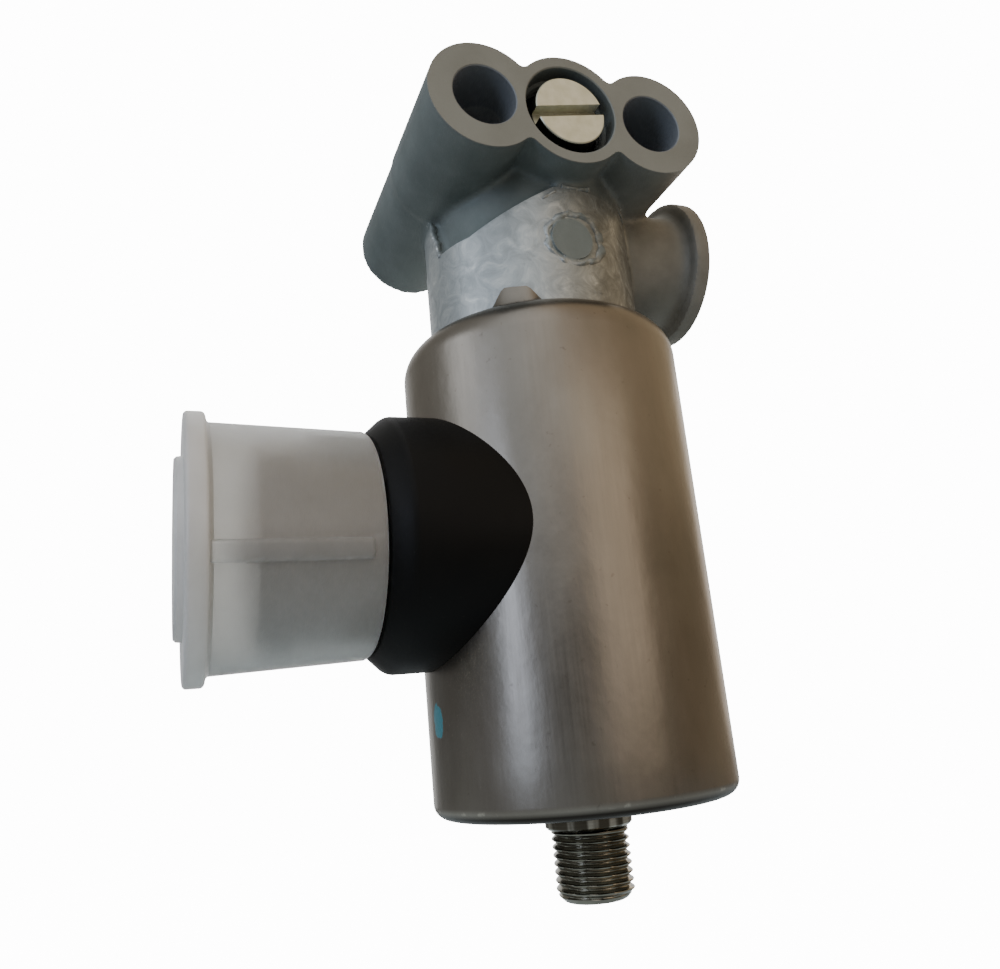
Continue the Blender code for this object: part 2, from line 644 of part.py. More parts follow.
def solenoid_shell():
    centre_radius = SHELL_RADIUS - SHELL_SHOULDER
    centre_height = SHELL_TOP - SHELL_SHOULDER
    inner_shoulder = SHELL_SHOULDER - SHELL_WALL
    inner_corner = SHELL_CORNER - SHELL_WALL
    opening = NECK_RADIUS + SEAT
    outer_start = math.acos((opening - centre_radius) / SHELL_SHOULDER)
    inner_end = math.acos((opening - centre_radius) / inner_shoulder)
    hole = CONE_RADIUS + SEAT
    profile = arc(centre_radius, centre_height, SHELL_SHOULDER, outer_start, 0, 6)
    profile += arc(SHELL_RADIUS - SHELL_CORNER, SHELL_CORNER, SHELL_CORNER, 0, -math.pi / 2, 4)
    profile += [(hole, 0), (hole, SHELL_WALL)]
    profile += arc(
        SHELL_RADIUS - SHELL_CORNER, SHELL_CORNER, inner_corner, -math.pi / 2, 0, 2
    )
    profile += arc(centre_radius, centre_height, inner_shoulder, 0, inner_end, 4)
    shell = turned("solenoid_shell", profile, steps=ROUND, ring=True, material=CAN)
    window = rod(
        STEM_RADIUS + SEAT,
        (-2 * SHELL_RADIUS, 0, CONNECTOR_HEIGHT),
        (-SHELL_RADIUS / 2, 0, CONNECTOR_HEIGHT),
        32,
    )
    cut(shell, window)
    tab = rod(TAB_WIDTH / 2, (0, 0, 0), (0, 0, SHELL_WALL))
    tab_height = SHELL_TOP + TAB_RISE - TAB_WIDTH / 2
    reach = opening + SHELL_WALL / 2
    stand = Matrix.Rotation(TAB_ANGLE, 4, "Z") @ Matrix.Translation((reach, 0, tab_height))
    tab.matrix_world = stand @ Matrix.Rotation(math.pi / 2, 4, "Y")
    neck_clear = rod(opening, (0, 0, BODY_FACE), (0, 0, SLEEVE_HEIGHT), ROUND)
    shoulder_clear = turned(
        "shoulder_clear",
        [(0, SHELL_TOP - SHELL_SHOULDER / 2)]
        + arc(centre_radius, centre_height, inner_shoulder, inner_end, 0, 4)
        + [(SHELL_INNER, BODY_FACE), (0, BODY_FACE)],
        steps=ROUND,
    )
    cut(tab, neck_clear, shoulder_clear)
    join(shell, tab)


def pole_core():
    groove_radius = CORE_RADIUS - CORE_GROOVE_DEPTH
    groove_top = CORE_GROOVE_HEIGHT + CORE_GROOVE / 2
    groove_bottom = CORE_GROOVE_HEIGHT - CORE_GROOVE / 2
    base_groove_top = BASE_BOTTOM + BASE_GROOVE_DEPTH
    base_groove_middle = (BASE_RADIUS + CONE_RADIUS) / 2
    base_groove_outer = base_groove_middle + BASE_GROOVE / 2
    base_groove_inner = base_groove_middle - BASE_GROOVE / 2
    profile = [
        (VENT_RADIUS, CORE_TOP + NOZZLE_RISE),
        (NOZZLE_RADIUS, CORE_TOP + NOZZLE_RISE),
        (NOZZLE_RADIUS + NOZZLE_RISE, CORE_TOP),
        (CORE_RADIUS, CORE_TOP),
        (CORE_RADIUS, groove_top),
        (groove_radius, groove_top),
        (groove_radius, groove_bottom),
        (CORE_RADIUS, groove_bottom),
        (CORE_RADIUS, BASE_TOP),
        (BASE_RADIUS, BASE_TOP),
        (BASE_RADIUS, BASE_BOTTOM),
        (base_groove_outer, BASE_BOTTOM),
        (base_groove_outer, base_groove_top),
        (base_groove_inner, base_groove_top),
        (base_groove_inner, BASE_BOTTOM),
        (CONE_RADIUS, BASE_BOTTOM),
        (CONE_RADIUS, -CONE_LENGTH / 2),
        (STUD_RADIUS - THREAD_RUNOUT, -CONE_LENGTH),
        (STUD_RADIUS, -CONE_LENGTH - THREAD_RUNOUT),
        (STUD_RADIUS, STUD_END + STUD_CHAMFER),
        (STUD_RADIUS - STUD_CHAMFER, STUD_END),
        (VENT_RADIUS, STUD_END),
    ]
    turned("pole_core", profile, steps=SMALL, ring=True, material=STEEL)
    core_section = (TUBE_INNER - SEAT - groove_radius - SEAT) / 2
    torus_seal(
        "core_oring", groove_radius + SEAT + core_section, core_section, (0, 0, CORE_GROOVE_HEIGHT)
    )
    base_section = (BASE_GROOVE_DEPTH - SEAT) / 2
    torus_seal(
        "base_oring",
        base_groove_middle,
        base_section,
        (0, 0, BASE_BOTTOM + base_section),
    )


def guide_tube():
    profile = [
        (TUBE_OUTER, TUBE_TOP),
        (TUBE_OUTER, BASE_TOP + SEAT),
        (TUBE_INNER, BASE_TOP + SEAT),
        (TUBE_INNER, TUBE_TOP),
    ]
    turned("guide_tube", profile, steps=SMALL, ring=True, material=NICKEL)


def valve_seat():
    profile = [
        (SEAT_ORIFICE_RADIUS, SEAT_BODY_TOP),
        (SEAT_BODY_RADIUS, SEAT_BODY_TOP),
        (SEAT_BODY_RADIUS, SEAT_BODY_BOTTOM),
        (SEAT_ORIFICE_RADIUS + SEAT_LAND, SEAT_TIP),
        (SEAT_ORIFICE_RADIUS, SEAT_TIP),
    ]
    turned("valve_seat", profile, steps=SMALL, ring=True, material=BRASS)


def armature(carrier):
    pocket = SEAL_RADIUS + SEAT
    pocket_depth = SEAL_THICKNESS + SEAT - SEAL_PROUD
    profile = [
        (0, ARMATURE_TOP - pocket_depth),
        (pocket, ARMATURE_TOP - pocket_depth),
        (pocket, ARMATURE_TOP),
        (CORE_RADIUS - ARMATURE_CHAMFER, ARMATURE_TOP),
        (CORE_RADIUS, ARMATURE_TOP - ARMATURE_CHAMFER),
        (CORE_RADIUS, ARMATURE_STEP),
        (ARMATURE_NOSE_RADIUS, ARMATURE_STEP),
        (ARMATURE_NOSE_RADIUS, ARMATURE_BOTTOM),
        (pocket, ARMATURE_BOTTOM),
        (pocket, ARMATURE_BOTTOM + pocket_depth),
        (0, ARMATURE_BOTTOM + pocket_depth),
    ]
    plunger = turned("armature", profile, material=STEEL)
    for side in range(4):
        angle = side * math.pi / 2 + math.pi / 4
        reach = CORE_RADIUS
        cut(
            plunger,
            block(
                (2 * SLOT_DEPTH, SLOT_WIDTH, 2 * (ARMATURE_TOP - ARMATURE_STEP)),
                (reach * math.cos(angle), reach * math.sin(angle), ARMATURE_TOP),
                (0, 0, angle),
            ),
        )
    top_face = ARMATURE_TOP + SEAL_PROUD
    bottom_face = ARMATURE_BOTTOM - SEAL_PROUD
    seals = [
        ("inlet_seal", top_face, top_face - SEAL_THICKNESS),
        ("exhaust_seal", bottom_face + SEAL_THICKNESS, bottom_face),
    ]
    moving = [plunger]
    for name, top, bottom in seals:
        face = [(0, top), (SEAL_RADIUS, top), (SEAL_RADIUS, bottom), (0, bottom)]
        moving.append(turned(name, face, steps=SMALL, material=RUBBER))
    for piece in moving:
        piece.parent = carrier


def return_spring():
    """A compression spring whose closed ends lie between the core and the armature's step."""
    bottom = CORE_TOP + SEAT + SPRING_WIRE_RADIUS
    top = ARMATURE_STEP - SEAT - SPRING_WIRE_RADIUS
    points_per_turn = 10
    count = SPRING_TURNS * points_per_turn
    curve = bpy.data.curves.new("return_spring", "CURVE")
    curve.dimensions = "3D"
    curve.bevel_depth = SPRING_WIRE_RADIUS
    curve.bevel_resolution = 2
    curve.use_fill_caps = True
    path = curve.splines.new("POLY")
    path.points.add(count)
    for step, point in enumerate(path.points):
        turn = step / points_per_turn
        angle = 2 * math.pi * turn
        closed = 2.2 * SPRING_WIRE_RADIUS
        rise = (top - bottom - 2 * closed) / (SPRING_TURNS - 2)
        if turn < 1:
            height = closed * turn
        elif turn > SPRING_TURNS - 1:
            height = top - bottom - closed * (SPRING_TURNS - turn)
        else:
            height = closed + rise * (turn - 1)
        x = SPRING_RADIUS * math.cos(angle)
        y = SPRING_RADIUS * math.sin(angle)
        point.co = (x, y, bottom + height, 1)
    spring = bpy.data.objects.new("return_spring", curve)
    place(spring, VALVE)
    curve.materials.append(STEEL)


def coil():
    barrel = TUBE_BORE + BOBBIN_WALL
    bobbin = [
        (BOBBIN_FLANGE_RADIUS, BOBBIN_TOP),
        (BOBBIN_FLANGE_RADIUS, BOBBIN_TOP - BOBBIN_FLANGE),
        (barrel, BOBBIN_TOP - BOBBIN_FLANGE),
        (barrel, BOBBIN_BOTTOM + BOBBIN_FLANGE),
        (BOBBIN_FLANGE_RADIUS, BOBBIN_BOTTOM + BOBBIN_FLANGE),
        (BOBBIN_FLANGE_RADIUS, BOBBIN_BOTTOM),
        (TUBE_BORE, BOBBIN_BOTTOM),
        (TUBE_BORE, BOBBIN_TOP),
    ]
    turned("bobbin", bobbin, steps=SMALL, ring=True, material=NATURAL_PLASTIC)
    winding_top = BOBBIN_TOP - BOBBIN_FLANGE - SEAT
    winding_bottom = BOBBIN_BOTTOM + BOBBIN_FLANGE + SEAT
    layers = 6
    height = (winding_top - winding_bottom) / layers
    winding = []
    for layer in range(layers):
        top = winding_top - layer * height
        winding += [
            (WINDING_RADIUS - WINDING_RIPPLE, top),
            (WINDING_RADIUS, top - height / 2),
        ]
    winding += [
        (WINDING_RADIUS - WINDING_RIPPLE, winding_bottom),
        (barrel + SEAT, winding_bottom),
        (barrel + SEAT, winding_top),
    ]
    turned("coil_winding", winding, steps=SMALL, ring=True, material=COPPER)
    cover_inner = BOBBIN_FLANGE_RADIUS + SEAT
    cover = [
        (COIL_OUTER, BOBBIN_TOP),
        (COIL_OUTER, BOBBIN_BOTTOM),
        (cover_inner, BOBBIN_BOTTOM),
        (cover_inner, BOBBIN_TOP),
    ]
    cover = turned("coil_cover", cover, ring=True, material=BLACK_PLASTIC)
    cut(
        cover,
        rod(
            STEM_RADIUS + SEAT,
            (-2 * SHELL_RADIUS, 0, CONNECTOR_HEIGHT),
            (-SHELL_RADIUS / 2, 0, CONNECTOR_HEIGHT),
            32,
        ),
    )


def flux_plates():
    lower_outer = SHELL_RADIUS - SHELL_CORNER - SEAT
    lower = [
        (lower_outer, BASE_TOP),
        (lower_outer, BASE_BOTTOM),
        (BASE_RADIUS + SEAT, BASE_BOTTOM),
        (BASE_RADIUS + SEAT, BASE_TOP),
    ]
    turned("flux_plate_lower", lower, steps=SMALL, ring=True, material=STEEL)
    upper = [
        (COIL_OUTER, PLATE_TOP),
        (COIL_OUTER, PLATE_BOTTOM),
        (TUBE_BORE, PLATE_BOTTOM),
        (TUBE_BORE, PLATE_TOP),
    ]
    turned("flux_plate_upper", upper, steps=SMALL, ring=True, material=STEEL)


def inlet_filter():
    """A perforated strainer at the bottom of the port's bore."""
    radius = PORT_BORE_RADIUS - SEAT
    back = PORT_REACH - PORT_BORE_DEPTH + SEAT
    inner = radius - FILTER_RIM_WALL
    hole = FILTER_HOLE_RADIUS
    profile = [
        (radius, back + FILTER_RIM),
        (radius, back),
        (hole, back),
        (hole, back + FILTER_SHEET),
        (inner, back + FILTER_SHEET),
        (inner, back + FILTER_RIM),
    ]
    strainer = turned(
        "inlet_filter",
        profile,
        steps=SMALL,
        axis="X",
        at=(0, 0, PORT_HEIGHT),
        ring=True,
        material=BRASS,
    )
    holes = []
    for count, ring in ((6, inner * 0.37), (12, inner * 0.74)):
        for step in range(count):
            angle = 2 * math.pi * (step + 0.5) / count
            holes.append((ring * math.cos(angle), ring * math.sin(angle)))
    for y, z in holes:
        cut(
            strainer,
            rod(
                hole,
                (back - FILTER_SHEET, y, PORT_HEIGHT + z),
                (back + FILTER_RIM, y, PORT_HEIGHT + z),
                8,
            ),
        )


def connector():
    inner = BAYONET_RADIUS - BAYONET_WALL
    profile = [
        (0, -SOCKET_FLOOR),
        (inner, -SOCKET_FLOOR),
        (inner, -BAYONET_FRONT),
        (BAYONET_RADIUS, -BAYONET_FRONT),
        (BAYONET_RADIUS, -STEM_SHOULDER),
        (STEM_RADIUS, -STEM_SHOULDER),
        (STEM_RADIUS, -STEM_END),
        (0, -STEM_END),
    ]
    housing = turned(
        "connector_body",
        profile,
        axis="-X",
        at=(0, 0, CONNECTOR_HEIGHT),
        material=BLACK_PLASTIC,
    )
    for lug in range(LUG_COUNT):
        angle = 2 * math.pi * lug / LUG_COUNT + math.pi / 6
        reach = BAYONET_RADIUS + LUG_RISE / 2
        join(
            housing,
            block(
                (LUG_LENGTH, 2 * LUG_RISE, LUG_WIDTH),
                (
                    BAYONET_FRONT + LUG_LENGTH,
                    reach * math.cos(angle) - LUG_RISE / 2 * math.cos(angle),
                    CONNECTOR_HEIGHT + reach * math.sin(angle) - LUG_RISE / 2 * math.sin(angle),
                ),
                (angle, 0, 0),
            ),
        )
    for number, side in ((1, -1), (2, 1)):
        y = side * PIN_PITCH / 2
        cut(
            housing,
            rod(
                PIN_RADIUS + SEAT,
                (SOCKET_FLOOR - 1 * MM, y, CONNECTOR_HEIGHT),
                (STEM_END + 1 * MM, y, CONNECTOR_HEIGHT),
                16,
            ),
        )
        pin = [
            (0, -PIN_TIP),
            (PIN_RADIUS * 0.6, -PIN_TIP),
            (PIN_RADIUS, -PIN_TIP - PIN_RADIUS * 0.8),
            (PIN_RADIUS, -PIN_TAIL),
            (0, -PIN_TAIL),
        ]
        turned(
            f"contact_pin_{number}",
            pin,
            steps=16,
            axis="-X",
            at=(0, y, CONNECTOR_HEIGHT),
            material=BRASS,
        )


def connector_collar():
    profile = [
        (COLLAR_RADIUS - COLLAR_CHAMFER, -COLLAR_FACE),
        (COLLAR_RADIUS - 0.4 * MM, -COLLAR_FACE - COLLAR_CHAMFER * 0.85),
        (COLLAR_RADIUS, -COLLAR_FACE - COLLAR_CHAMFER * 1.25),
        (COLLAR_RADIUS, SHELL_RADIUS * 0.4),
        (BAYONET_RADIUS + SEAT, SHELL_RADIUS * 0.4),
        (BAYONET_RADIUS + SEAT, -COLLAR_FACE),
    ]
    collar = turned(
        "connector_collar",
        profile,
        steps=ROUND,
        axis="-X",
        at=(0, 0, CONNECTOR_HEIGHT),
        ring=True,
        material=RUBBER,
    )
    cut(collar, rod(SHELL_RADIUS + SEAT, (0, 0, 0), (0, 0, SHELL_TOP), ROUND))


def dust_cap(carrier):
    root = CAP_END + CAP_FLANGE_WIDTH
    inner_end = CAP_END + CAP_WALL + 0.3 * MM
    profile = [
        (0, -CAP_END + CAP_PAD_RISE),
        (CAP_PAD_RADIUS, -CAP_END + CAP_PAD_RISE),
        (CAP_PAD_RADIUS, -CAP_END),
        (CAP_FLANGE_RADIUS - 0.5 * MM, -CAP_END),
        (CAP_FLANGE_RADIUS, -CAP_END - 0.5 * MM),
        (CAP_FLANGE_RADIUS, -root),
        (CAP_ROOT_RADIUS, -root),
        (CAP_MOUTH_RADIUS, -CAP_MOUTH + 0.6 * MM),
        (CAP_MOUTH_RADIUS - 0.5 * MM, -CAP_MOUTH),
        (CAP_MOUTH_RADIUS - CAP_WALL, -CAP_MOUTH),
        (CAP_ROOT_RADIUS - CAP_WALL, -inner_end),
        (0, -inner_end),
    ]
    cap = turned("dust_cap", profile, steps=ROUND, axis="-X", material=CLOUDY_PLASTIC)
    rib_length = CAP_MOUTH - root - 1.5 * MM
    rib = block(
        (rib_length, 2 * CAP_RIB_RISE, CAP_RIB_WIDTH),
        (0, 0, 0),
    )
    lean = math.atan2(CAP_ROOT_RADIUS - CAP_MOUTH_RADIUS, CAP_MOUTH - root)
    middle = (CAP_ROOT_RADIUS + CAP_MOUTH_RADIUS) / 2
    turn = Matrix.Rotation(CAP_RIB_TURN, 4, "X") @ Matrix.Rotation(lean, 4, "Z")
    centre = Matrix.Rotation(CAP_RIB_TURN, 4, "X") @ Vector((0, -middle, 0))
    rib.matrix_world = (
        Matrix.Translation((root + rib_length / 2 - 0.2 * MM, 0, CONNECTOR_HEIGHT))
        @ Matrix.Translation(centre)
        @ turn
    )
    join(cap, rib)
    cap.parent = carrier


def empty(name, at):
    made = bpy.data.objects.new(name, None)
    made.location = at
    VALVE.objects.link(made)
    return made


def hang_on_frame():
    """Parents everything to an empty that brings the mounting face's middle to the origin."""
    frame = empty("mounting_frame", (0, -SLEEVE_REAR, -SLEEVE_HEIGHT))
    for obj in list(VALVE.objects) + list(TOOLS.objects):
        if obj.parent is None and obj is not frame:
            obj.parent = frame


def build():
    valve_body()
    plug()
    solenoid_shell()
    pole_core()
    guide_tube()
    valve_seat()
    armature(empty("armature_slide", (0, 0, 0)))
    return_spring()
    coil()
    flux_plates()
    inlet_filter()
    connector()
    connector_collar()
    dust_cap(empty("cap_slide", (0, 0, CONNECTOR_HEIGHT)))
    hang_on_frame()


build()
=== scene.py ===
# %% [markdown]
# # An air solenoid valve
#
# The valve has a die-cast body on two bolt sleeves, a drawn steel can with a rolled shoulder, a
# threaded stud, and a connector under a milky cap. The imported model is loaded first. It is the
# frame: every piece made here takes its place from it, in metres, and rides on one of its bodies.

# %% Load the frame
import json
import math

import bmesh
import bpy
from mathutils import Matrix, Vector, noise


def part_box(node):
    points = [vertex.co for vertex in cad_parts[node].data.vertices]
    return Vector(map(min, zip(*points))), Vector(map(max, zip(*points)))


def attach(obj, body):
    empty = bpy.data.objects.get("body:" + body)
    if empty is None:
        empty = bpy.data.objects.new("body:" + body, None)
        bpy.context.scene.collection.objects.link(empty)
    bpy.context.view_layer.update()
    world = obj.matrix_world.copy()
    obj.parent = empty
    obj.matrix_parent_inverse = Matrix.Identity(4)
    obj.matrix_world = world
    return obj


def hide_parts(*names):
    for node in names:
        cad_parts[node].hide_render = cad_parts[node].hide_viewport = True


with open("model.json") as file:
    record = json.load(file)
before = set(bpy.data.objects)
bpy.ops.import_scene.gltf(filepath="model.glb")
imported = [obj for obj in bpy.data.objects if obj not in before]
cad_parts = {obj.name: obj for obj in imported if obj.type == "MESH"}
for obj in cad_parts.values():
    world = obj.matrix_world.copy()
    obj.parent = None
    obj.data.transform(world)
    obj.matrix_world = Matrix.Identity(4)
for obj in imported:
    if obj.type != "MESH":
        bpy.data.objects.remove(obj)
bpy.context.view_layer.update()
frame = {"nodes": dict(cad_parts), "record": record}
mm = 0.001
half_turn = math.pi
full_turn = 2 * math.pi
print("nodes in the frame:", len(frame["nodes"]))

# %% [markdown]
# ## Places read from the frame
#
# The origin is the middle of the mounting face, so the bolt sleeves' axes lie at height zero. A
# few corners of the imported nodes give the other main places: the can's axis and radius, the
# connector's axis, the sleeves' ends and the port's rim.

# %% Main places
can_low, can_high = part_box("solenoid_shell")
can_radius = (can_high.x - can_low.x) / 2
can_foot = can_low.z
axis_y = (can_low.y + can_high.y) / 2

body_low, body_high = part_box("valve_body")
sleeve_front = body_low.y
sleeve_rear = body_high.y
port_rim = body_high.x
body_foot = body_low.z

collar_low, collar_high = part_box("connector_collar")
connector_centre = Vector((0, axis_y, (collar_low.z + collar_high.z) / 2))
print("can radius", round(can_radius / mm, 2), "mm, foot at", round(can_foot / mm, 1), "mm")

# %% [markdown]
# ## Helpers for turning and cutting
#
# Most of this valve is turned or drawn, so one helper does what a lathe does: a single point is
# extruded into half an outline, and `spin` carries the outline round the axis. The outline is
# given as (radius, height) pairs, and `arc` writes the round stretches.


# %% Turning and cutting
def deselect():
    bpy.ops.object.select_all(action="DESELECT")


def make_active(piece):
    deselect()
    piece.select_set(True)
    bpy.context.view_layer.objects.active = piece


def arc(radius, height, size, start, end, steps):
    """Points on a circle round (radius, height), from one angle in degrees to another."""
    points = []
    for step in range(steps + 1):
        angle = math.radians(start + (end - start) * step / steps)
        points.append((radius + size * math.cos(angle), height + size * math.sin(angle)))
    return points


turn_to = {
    "Z": (0, 0, 0),
    "X": (0, half_turn / 2, 0),
    "-X": (0, -half_turn / 2, 0),
    "Y": (-half_turn / 2, 0, 0),
}
merge_distance = 0.002 * mm


def apply_place(piece):
    make_active(piece)
    bpy.ops.object.transform_apply(location=True, rotation=True, scale=True)


def turn(name, outline, direction="Z", centre=(0, 0, 0), steps=128):
    """A turned piece: one point is extruded along the outline, which is then spun."""
    deselect()
    bpy.ops.mesh.primitive_plane_add(size=mm)
    piece = bpy.context.object
    piece.name = name
    bpy.ops.object.mode_set(mode="EDIT")
    bpy.ops.mesh.select_all(action="SELECT")
    bpy.ops.mesh.merge(type="CENTER")
    bpy.ops.transform.translate(value=(outline[0][0], 0, outline[0][1]))
    for before, after in zip(outline, outline[1:]):
        step = (after[0] - before[0], 0, after[1] - before[1])
        bpy.ops.mesh.extrude_region_move(TRANSFORM_OT_translate={"value": step})
    bpy.ops.mesh.select_all(action="SELECT")
    bpy.ops.mesh.spin(steps=steps, angle=full_turn, center=(0, 0, 0), axis=(0, 0, 1))
    bpy.ops.mesh.select_all(action="SELECT")
    bpy.ops.mesh.remove_doubles(threshold=merge_distance)
    bpy.ops.mesh.normals_make_consistent(inside=False)
    bpy.ops.object.mode_set(mode="OBJECT")
    piece.rotation_euler = turn_to[direction]
    piece.location = centre
    apply_place(piece)
    return piece


def apply_modifier(piece, kind, **settings):
    """Adds one modifier and applies it, as the Apply button does."""
    modifier = piece.modifiers.new(kind.lower(), kind)
    for name, value in settings.items():
        setattr(modifier, name, value)
    make_active(piece)
    bpy.ops.object.modifier_apply(modifier=modifier.name)


def volume_of(mesh):
    shape = bmesh.new()
    shape.from_mesh(mesh)
    volume = shape.calc_volume(signed=True)
    shape.free()
    return volume


def carve(piece, tool, operation="DIFFERENCE", tries=6):
    """A boolean, checked by its volume: a result that can't be right is put back and cut again."""
    before = piece.data.copy()
    whole = volume_of(before)
    part = volume_of(tool.data)
    slack = 0.001 * whole
    if operation == "UNION":
        least, most = max(whole, part) - slack, whole + part + slack
    else:
        least, most = whole - part - slack, whole + slack
    for attempt in range(tries):
        apply_modifier(piece, "BOOLEAN", object=tool, operation=operation, solver="EXACT")
        if least <= volume_of(piece.data) <= most:
            break
        print("boolean", attempt + 1, "on", piece.name, "is wrong and is done again")
        piece.data = before.copy()
    bpy.data.meshes.remove(before)
    bpy.data.objects.remove(tool, do_unlink=True)


def slice_off(piece, point, outward):
    """Bisects a solid by a plane, takes away what lies outward of it and closes the cut."""
    make_active(piece)
    bpy.ops.object.mode_set(mode="EDIT")
    bpy.ops.mesh.select_all(action="SELECT")
    bpy.ops.mesh.bisect(plane_co=point, plane_no=outward, use_fill=True, clear_outer=True)
    bpy.ops.object.mode_set(mode="OBJECT")


def rod(radius, start, end, sides=64):
    """A straight cylinder between two points, used as a tool or as raw stock."""
    start = Vector(start)
    span = Vector(end) - start
    deselect()
    bpy.ops.mesh.primitive_cylinder_add(vertices=sides, radius=radius, depth=span.length)
    made = bpy.context.object
    made.rotation_euler = Vector((0, 0, 1)).rotation_difference(span).to_euler()
    made.location = start + span / 2
    apply_place(made)
    return made


def block(size, centre, rotation=(0, 0, 0), edge=0.0):
    """A box with its edges rounded by bevel."""
    deselect()
    bpy.ops.mesh.primitive_cube_add(size=1, location=centre, rotation=rotation)
    made = bpy.context.object
    made.scale = size
    apply_place(made)
    if edge:
        apply_modifier(made, "BEVEL", width=edge, segments=4)
    return made


def join(pieces):
    """Puts several meshes into the first one."""
    make_active(pieces[0])
    for piece in pieces[1:]:
        piece.select_set(True)
    bpy.ops.object.join()
    return pieces[0]


def smooth_step(value):
    value = min(max(value, 0.0), 1.0)
    return value * value * (3 - 2 * value)


def finished(piece, body, nodes, material, crease=30):
    """Smooth shading, the finish, and the place that the piece takes in the frame."""
    make_active(piece)
    bpy.ops.object.shade_smooth_by_angle(angle=math.radians(crease))
    piece.data.materials.clear()
    piece.data.materials.append(material)
    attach(piece, body)
    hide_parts(*nodes)
    counts = len(piece.data.polygons), "faces,", len(material.node_tree.nodes), "nodes"
    print(piece.name, material.name, *counts)
    return piece


# %% [markdown]
# ## Helpers for finishes
#
# Colours are written as the hex values that one reads off a picture, and one function turns them
# to the linear values that a shader wants. `add` puts a node into a material with its settings
# and its links in one call, and `start_finish` makes the material itself. Every pattern reads
# Object coordinates, which are metres here, so a noise whose scale is 1 / (9 * mm) has spots
# about 9 mm across.


# %% Materials by node
def colour(hex_value):
    """An sRGB hex colour as linear RGBA."""
    parts = [int(hex_value[at : at + 2], 16) / 255 for at in (1, 3, 5)]
    linear = [p / 12.92 if p <= 0.04045 else ((p + 0.055) / 1.055) ** 2.4 for p in parts]
    return (*linear, 1.0)


def output_of(source):
    """A node's first output that is in use. Anything else is handed back as it is."""
    if isinstance(source, bpy.types.Node):
        return next(socket for socket in source.outputs if socket.enabled)
    return source


def add(owner, kind, inputs=(), stops=(), **settings):
    """Adds a node. Its inputs come as a dict, or as a tuple in the order of the sockets in use.

    Each takes a value, a hex colour, another node or one of that node's outputs.
    """
    node = owner.node_tree.nodes.new("ShaderNode" + kind)
    for name, value in settings.items():
        setattr(node, name, value)
    if isinstance(inputs, dict):
        pairs = [(node.inputs[key], value) for key, value in inputs.items()]
    else:
        pairs = zip([socket for socket in node.inputs if socket.enabled], inputs)
    for socket, value in pairs:
        value = output_of(value)
        if isinstance(value, bpy.types.NodeSocket):
            owner.node_tree.links.new(value, socket)
        elif isinstance(value, str):
            socket.default_value = colour(value)
        else:
            socket.default_value = value
    for number, (position, hex_value) in enumerate(stops):
        if number >= len(node.color_ramp.elements):
            node.color_ramp.elements.new(position)
        node.color_ramp.elements[number].position = position
        node.color_ramp.elements[number].color = colour(hex_value)
    return node


def start_finish(name, base, roughness, metallic=0.0):
    """A new material, its shader, and the coordinates that its patterns read."""
    made = bpy.data.materials.new(name)
    made.use_nodes = True
    shader = made.node_tree.nodes["Principled BSDF"]
    shader.inputs["Base Color"].default_value = colour(base)
    shader.inputs["Roughness"].default_value = roughness
    shader.inputs["Metallic"].default_value = metallic
    place = add(made, "TexCoord").outputs["Object"]
    return made, shader, place


def plug_in(owner, shader, **sources):
    """Links nodes or their outputs to the shader's inputs."""
    for name, source in sources.items():
        owner.node_tree.links.new(output_of(source), shader.inputs[name.replace("_", " ")])


# %% [markdown]
# ## Camera
#
# The place and lens were worked out from the silhouettes of the can, the collar and the sleeves.
# The camera stands low and to the left of the valve and looks up at it, so verticals lean.

# %% Camera
camera_place = Vector((-52.59, -132.03, -79.66)) * mm
camera_forward = Vector((0.3633, 0.8960, 0.2552)).normalized()
camera_right = Vector((0.9316, -0.3512, -0.0934)).normalized()
camera_up = camera_right.cross(camera_forward)

camera_data = bpy.data.cameras.new("camera")
camera_data.lens = 31.35
camera_data.sensor_width = 36
camera_data.sensor_fit = "HORIZONTAL"
camera_data.clip_start = 5 * mm
camera = bpy.data.objects.new("camera", camera_data)
bpy.context.scene.collection.objects.link(camera)
columns = (camera_right, camera_up, -camera_forward)
camera_turn = Matrix([[column[row] for column in columns] for row in range(3)])
camera.matrix_world = Matrix.Translation(camera_place) @ camera_turn.to_4x4()
bpy.context.scene.camera = camera
print("camera is", round((camera_place - connector_centre).length / mm), "mm from the connector")

# %% [markdown]
# ## Die-cast aluminium
#
# The body is an aluminium pressure die casting. Its skin is matt slate grey with a fine pebble.
# The sleeves' end faces were dressed, so they are warmer and flatter. The neck was turned to
# take the can, which cuts through the dark skin to brighter metal, and swirls show where metal
# flowed in at the gate. Masks from the height and the distance to the axis keep these apart.

# %% Casting finish
neck_radius = 15.5 * mm
neck_skin = 0.12 * mm
gate_centre = Vector((0.1 * mm, axis_y - neck_radius, -17.4 * mm))
gate_radius = 3.1 * mm
sleeve_pitch = 25.4 * mm
bolt_hole_radius = 4.5 * mm
cast, cast_shader, cast_place = start_finish("die_cast_aluminium", "#6c7474", 0.62, 0.5)
cast_x, cast_y, cast_z = add(cast, "SeparateXYZ", {"Vector": cast_place}).outputs
clouds = add(cast, "TexNoise", {"Vector": cast_place, "Scale": 1 / (8 * mm), "Detail": 4.0})
skin_stops = ((0.3, "#707a79"), (0.5, "#7b8584"), (0.7, "#899291"))
skin_tone = add(cast, "ValToRGB", {"Fac": clouds}, skin_stops)
# The skin is painted warmer and lighter towards the port at +x: painted warm light from the right.
warm_lit_stops = ((0.3, "#77746b"), (0.5, "#8d897f"), (0.7, "#a09c92"))
warm_lit_tone = add(cast, "ValToRGB", {"Fac": clouds}, warm_lit_stops)
port_side = add(cast, "MapRange", (cast_x, 2 * mm, 15 * mm, 0.0, 0.8))
warm_lit_skin = add(cast, "Mix", (port_side, skin_tone, warm_lit_tone), data_type="RGBA")

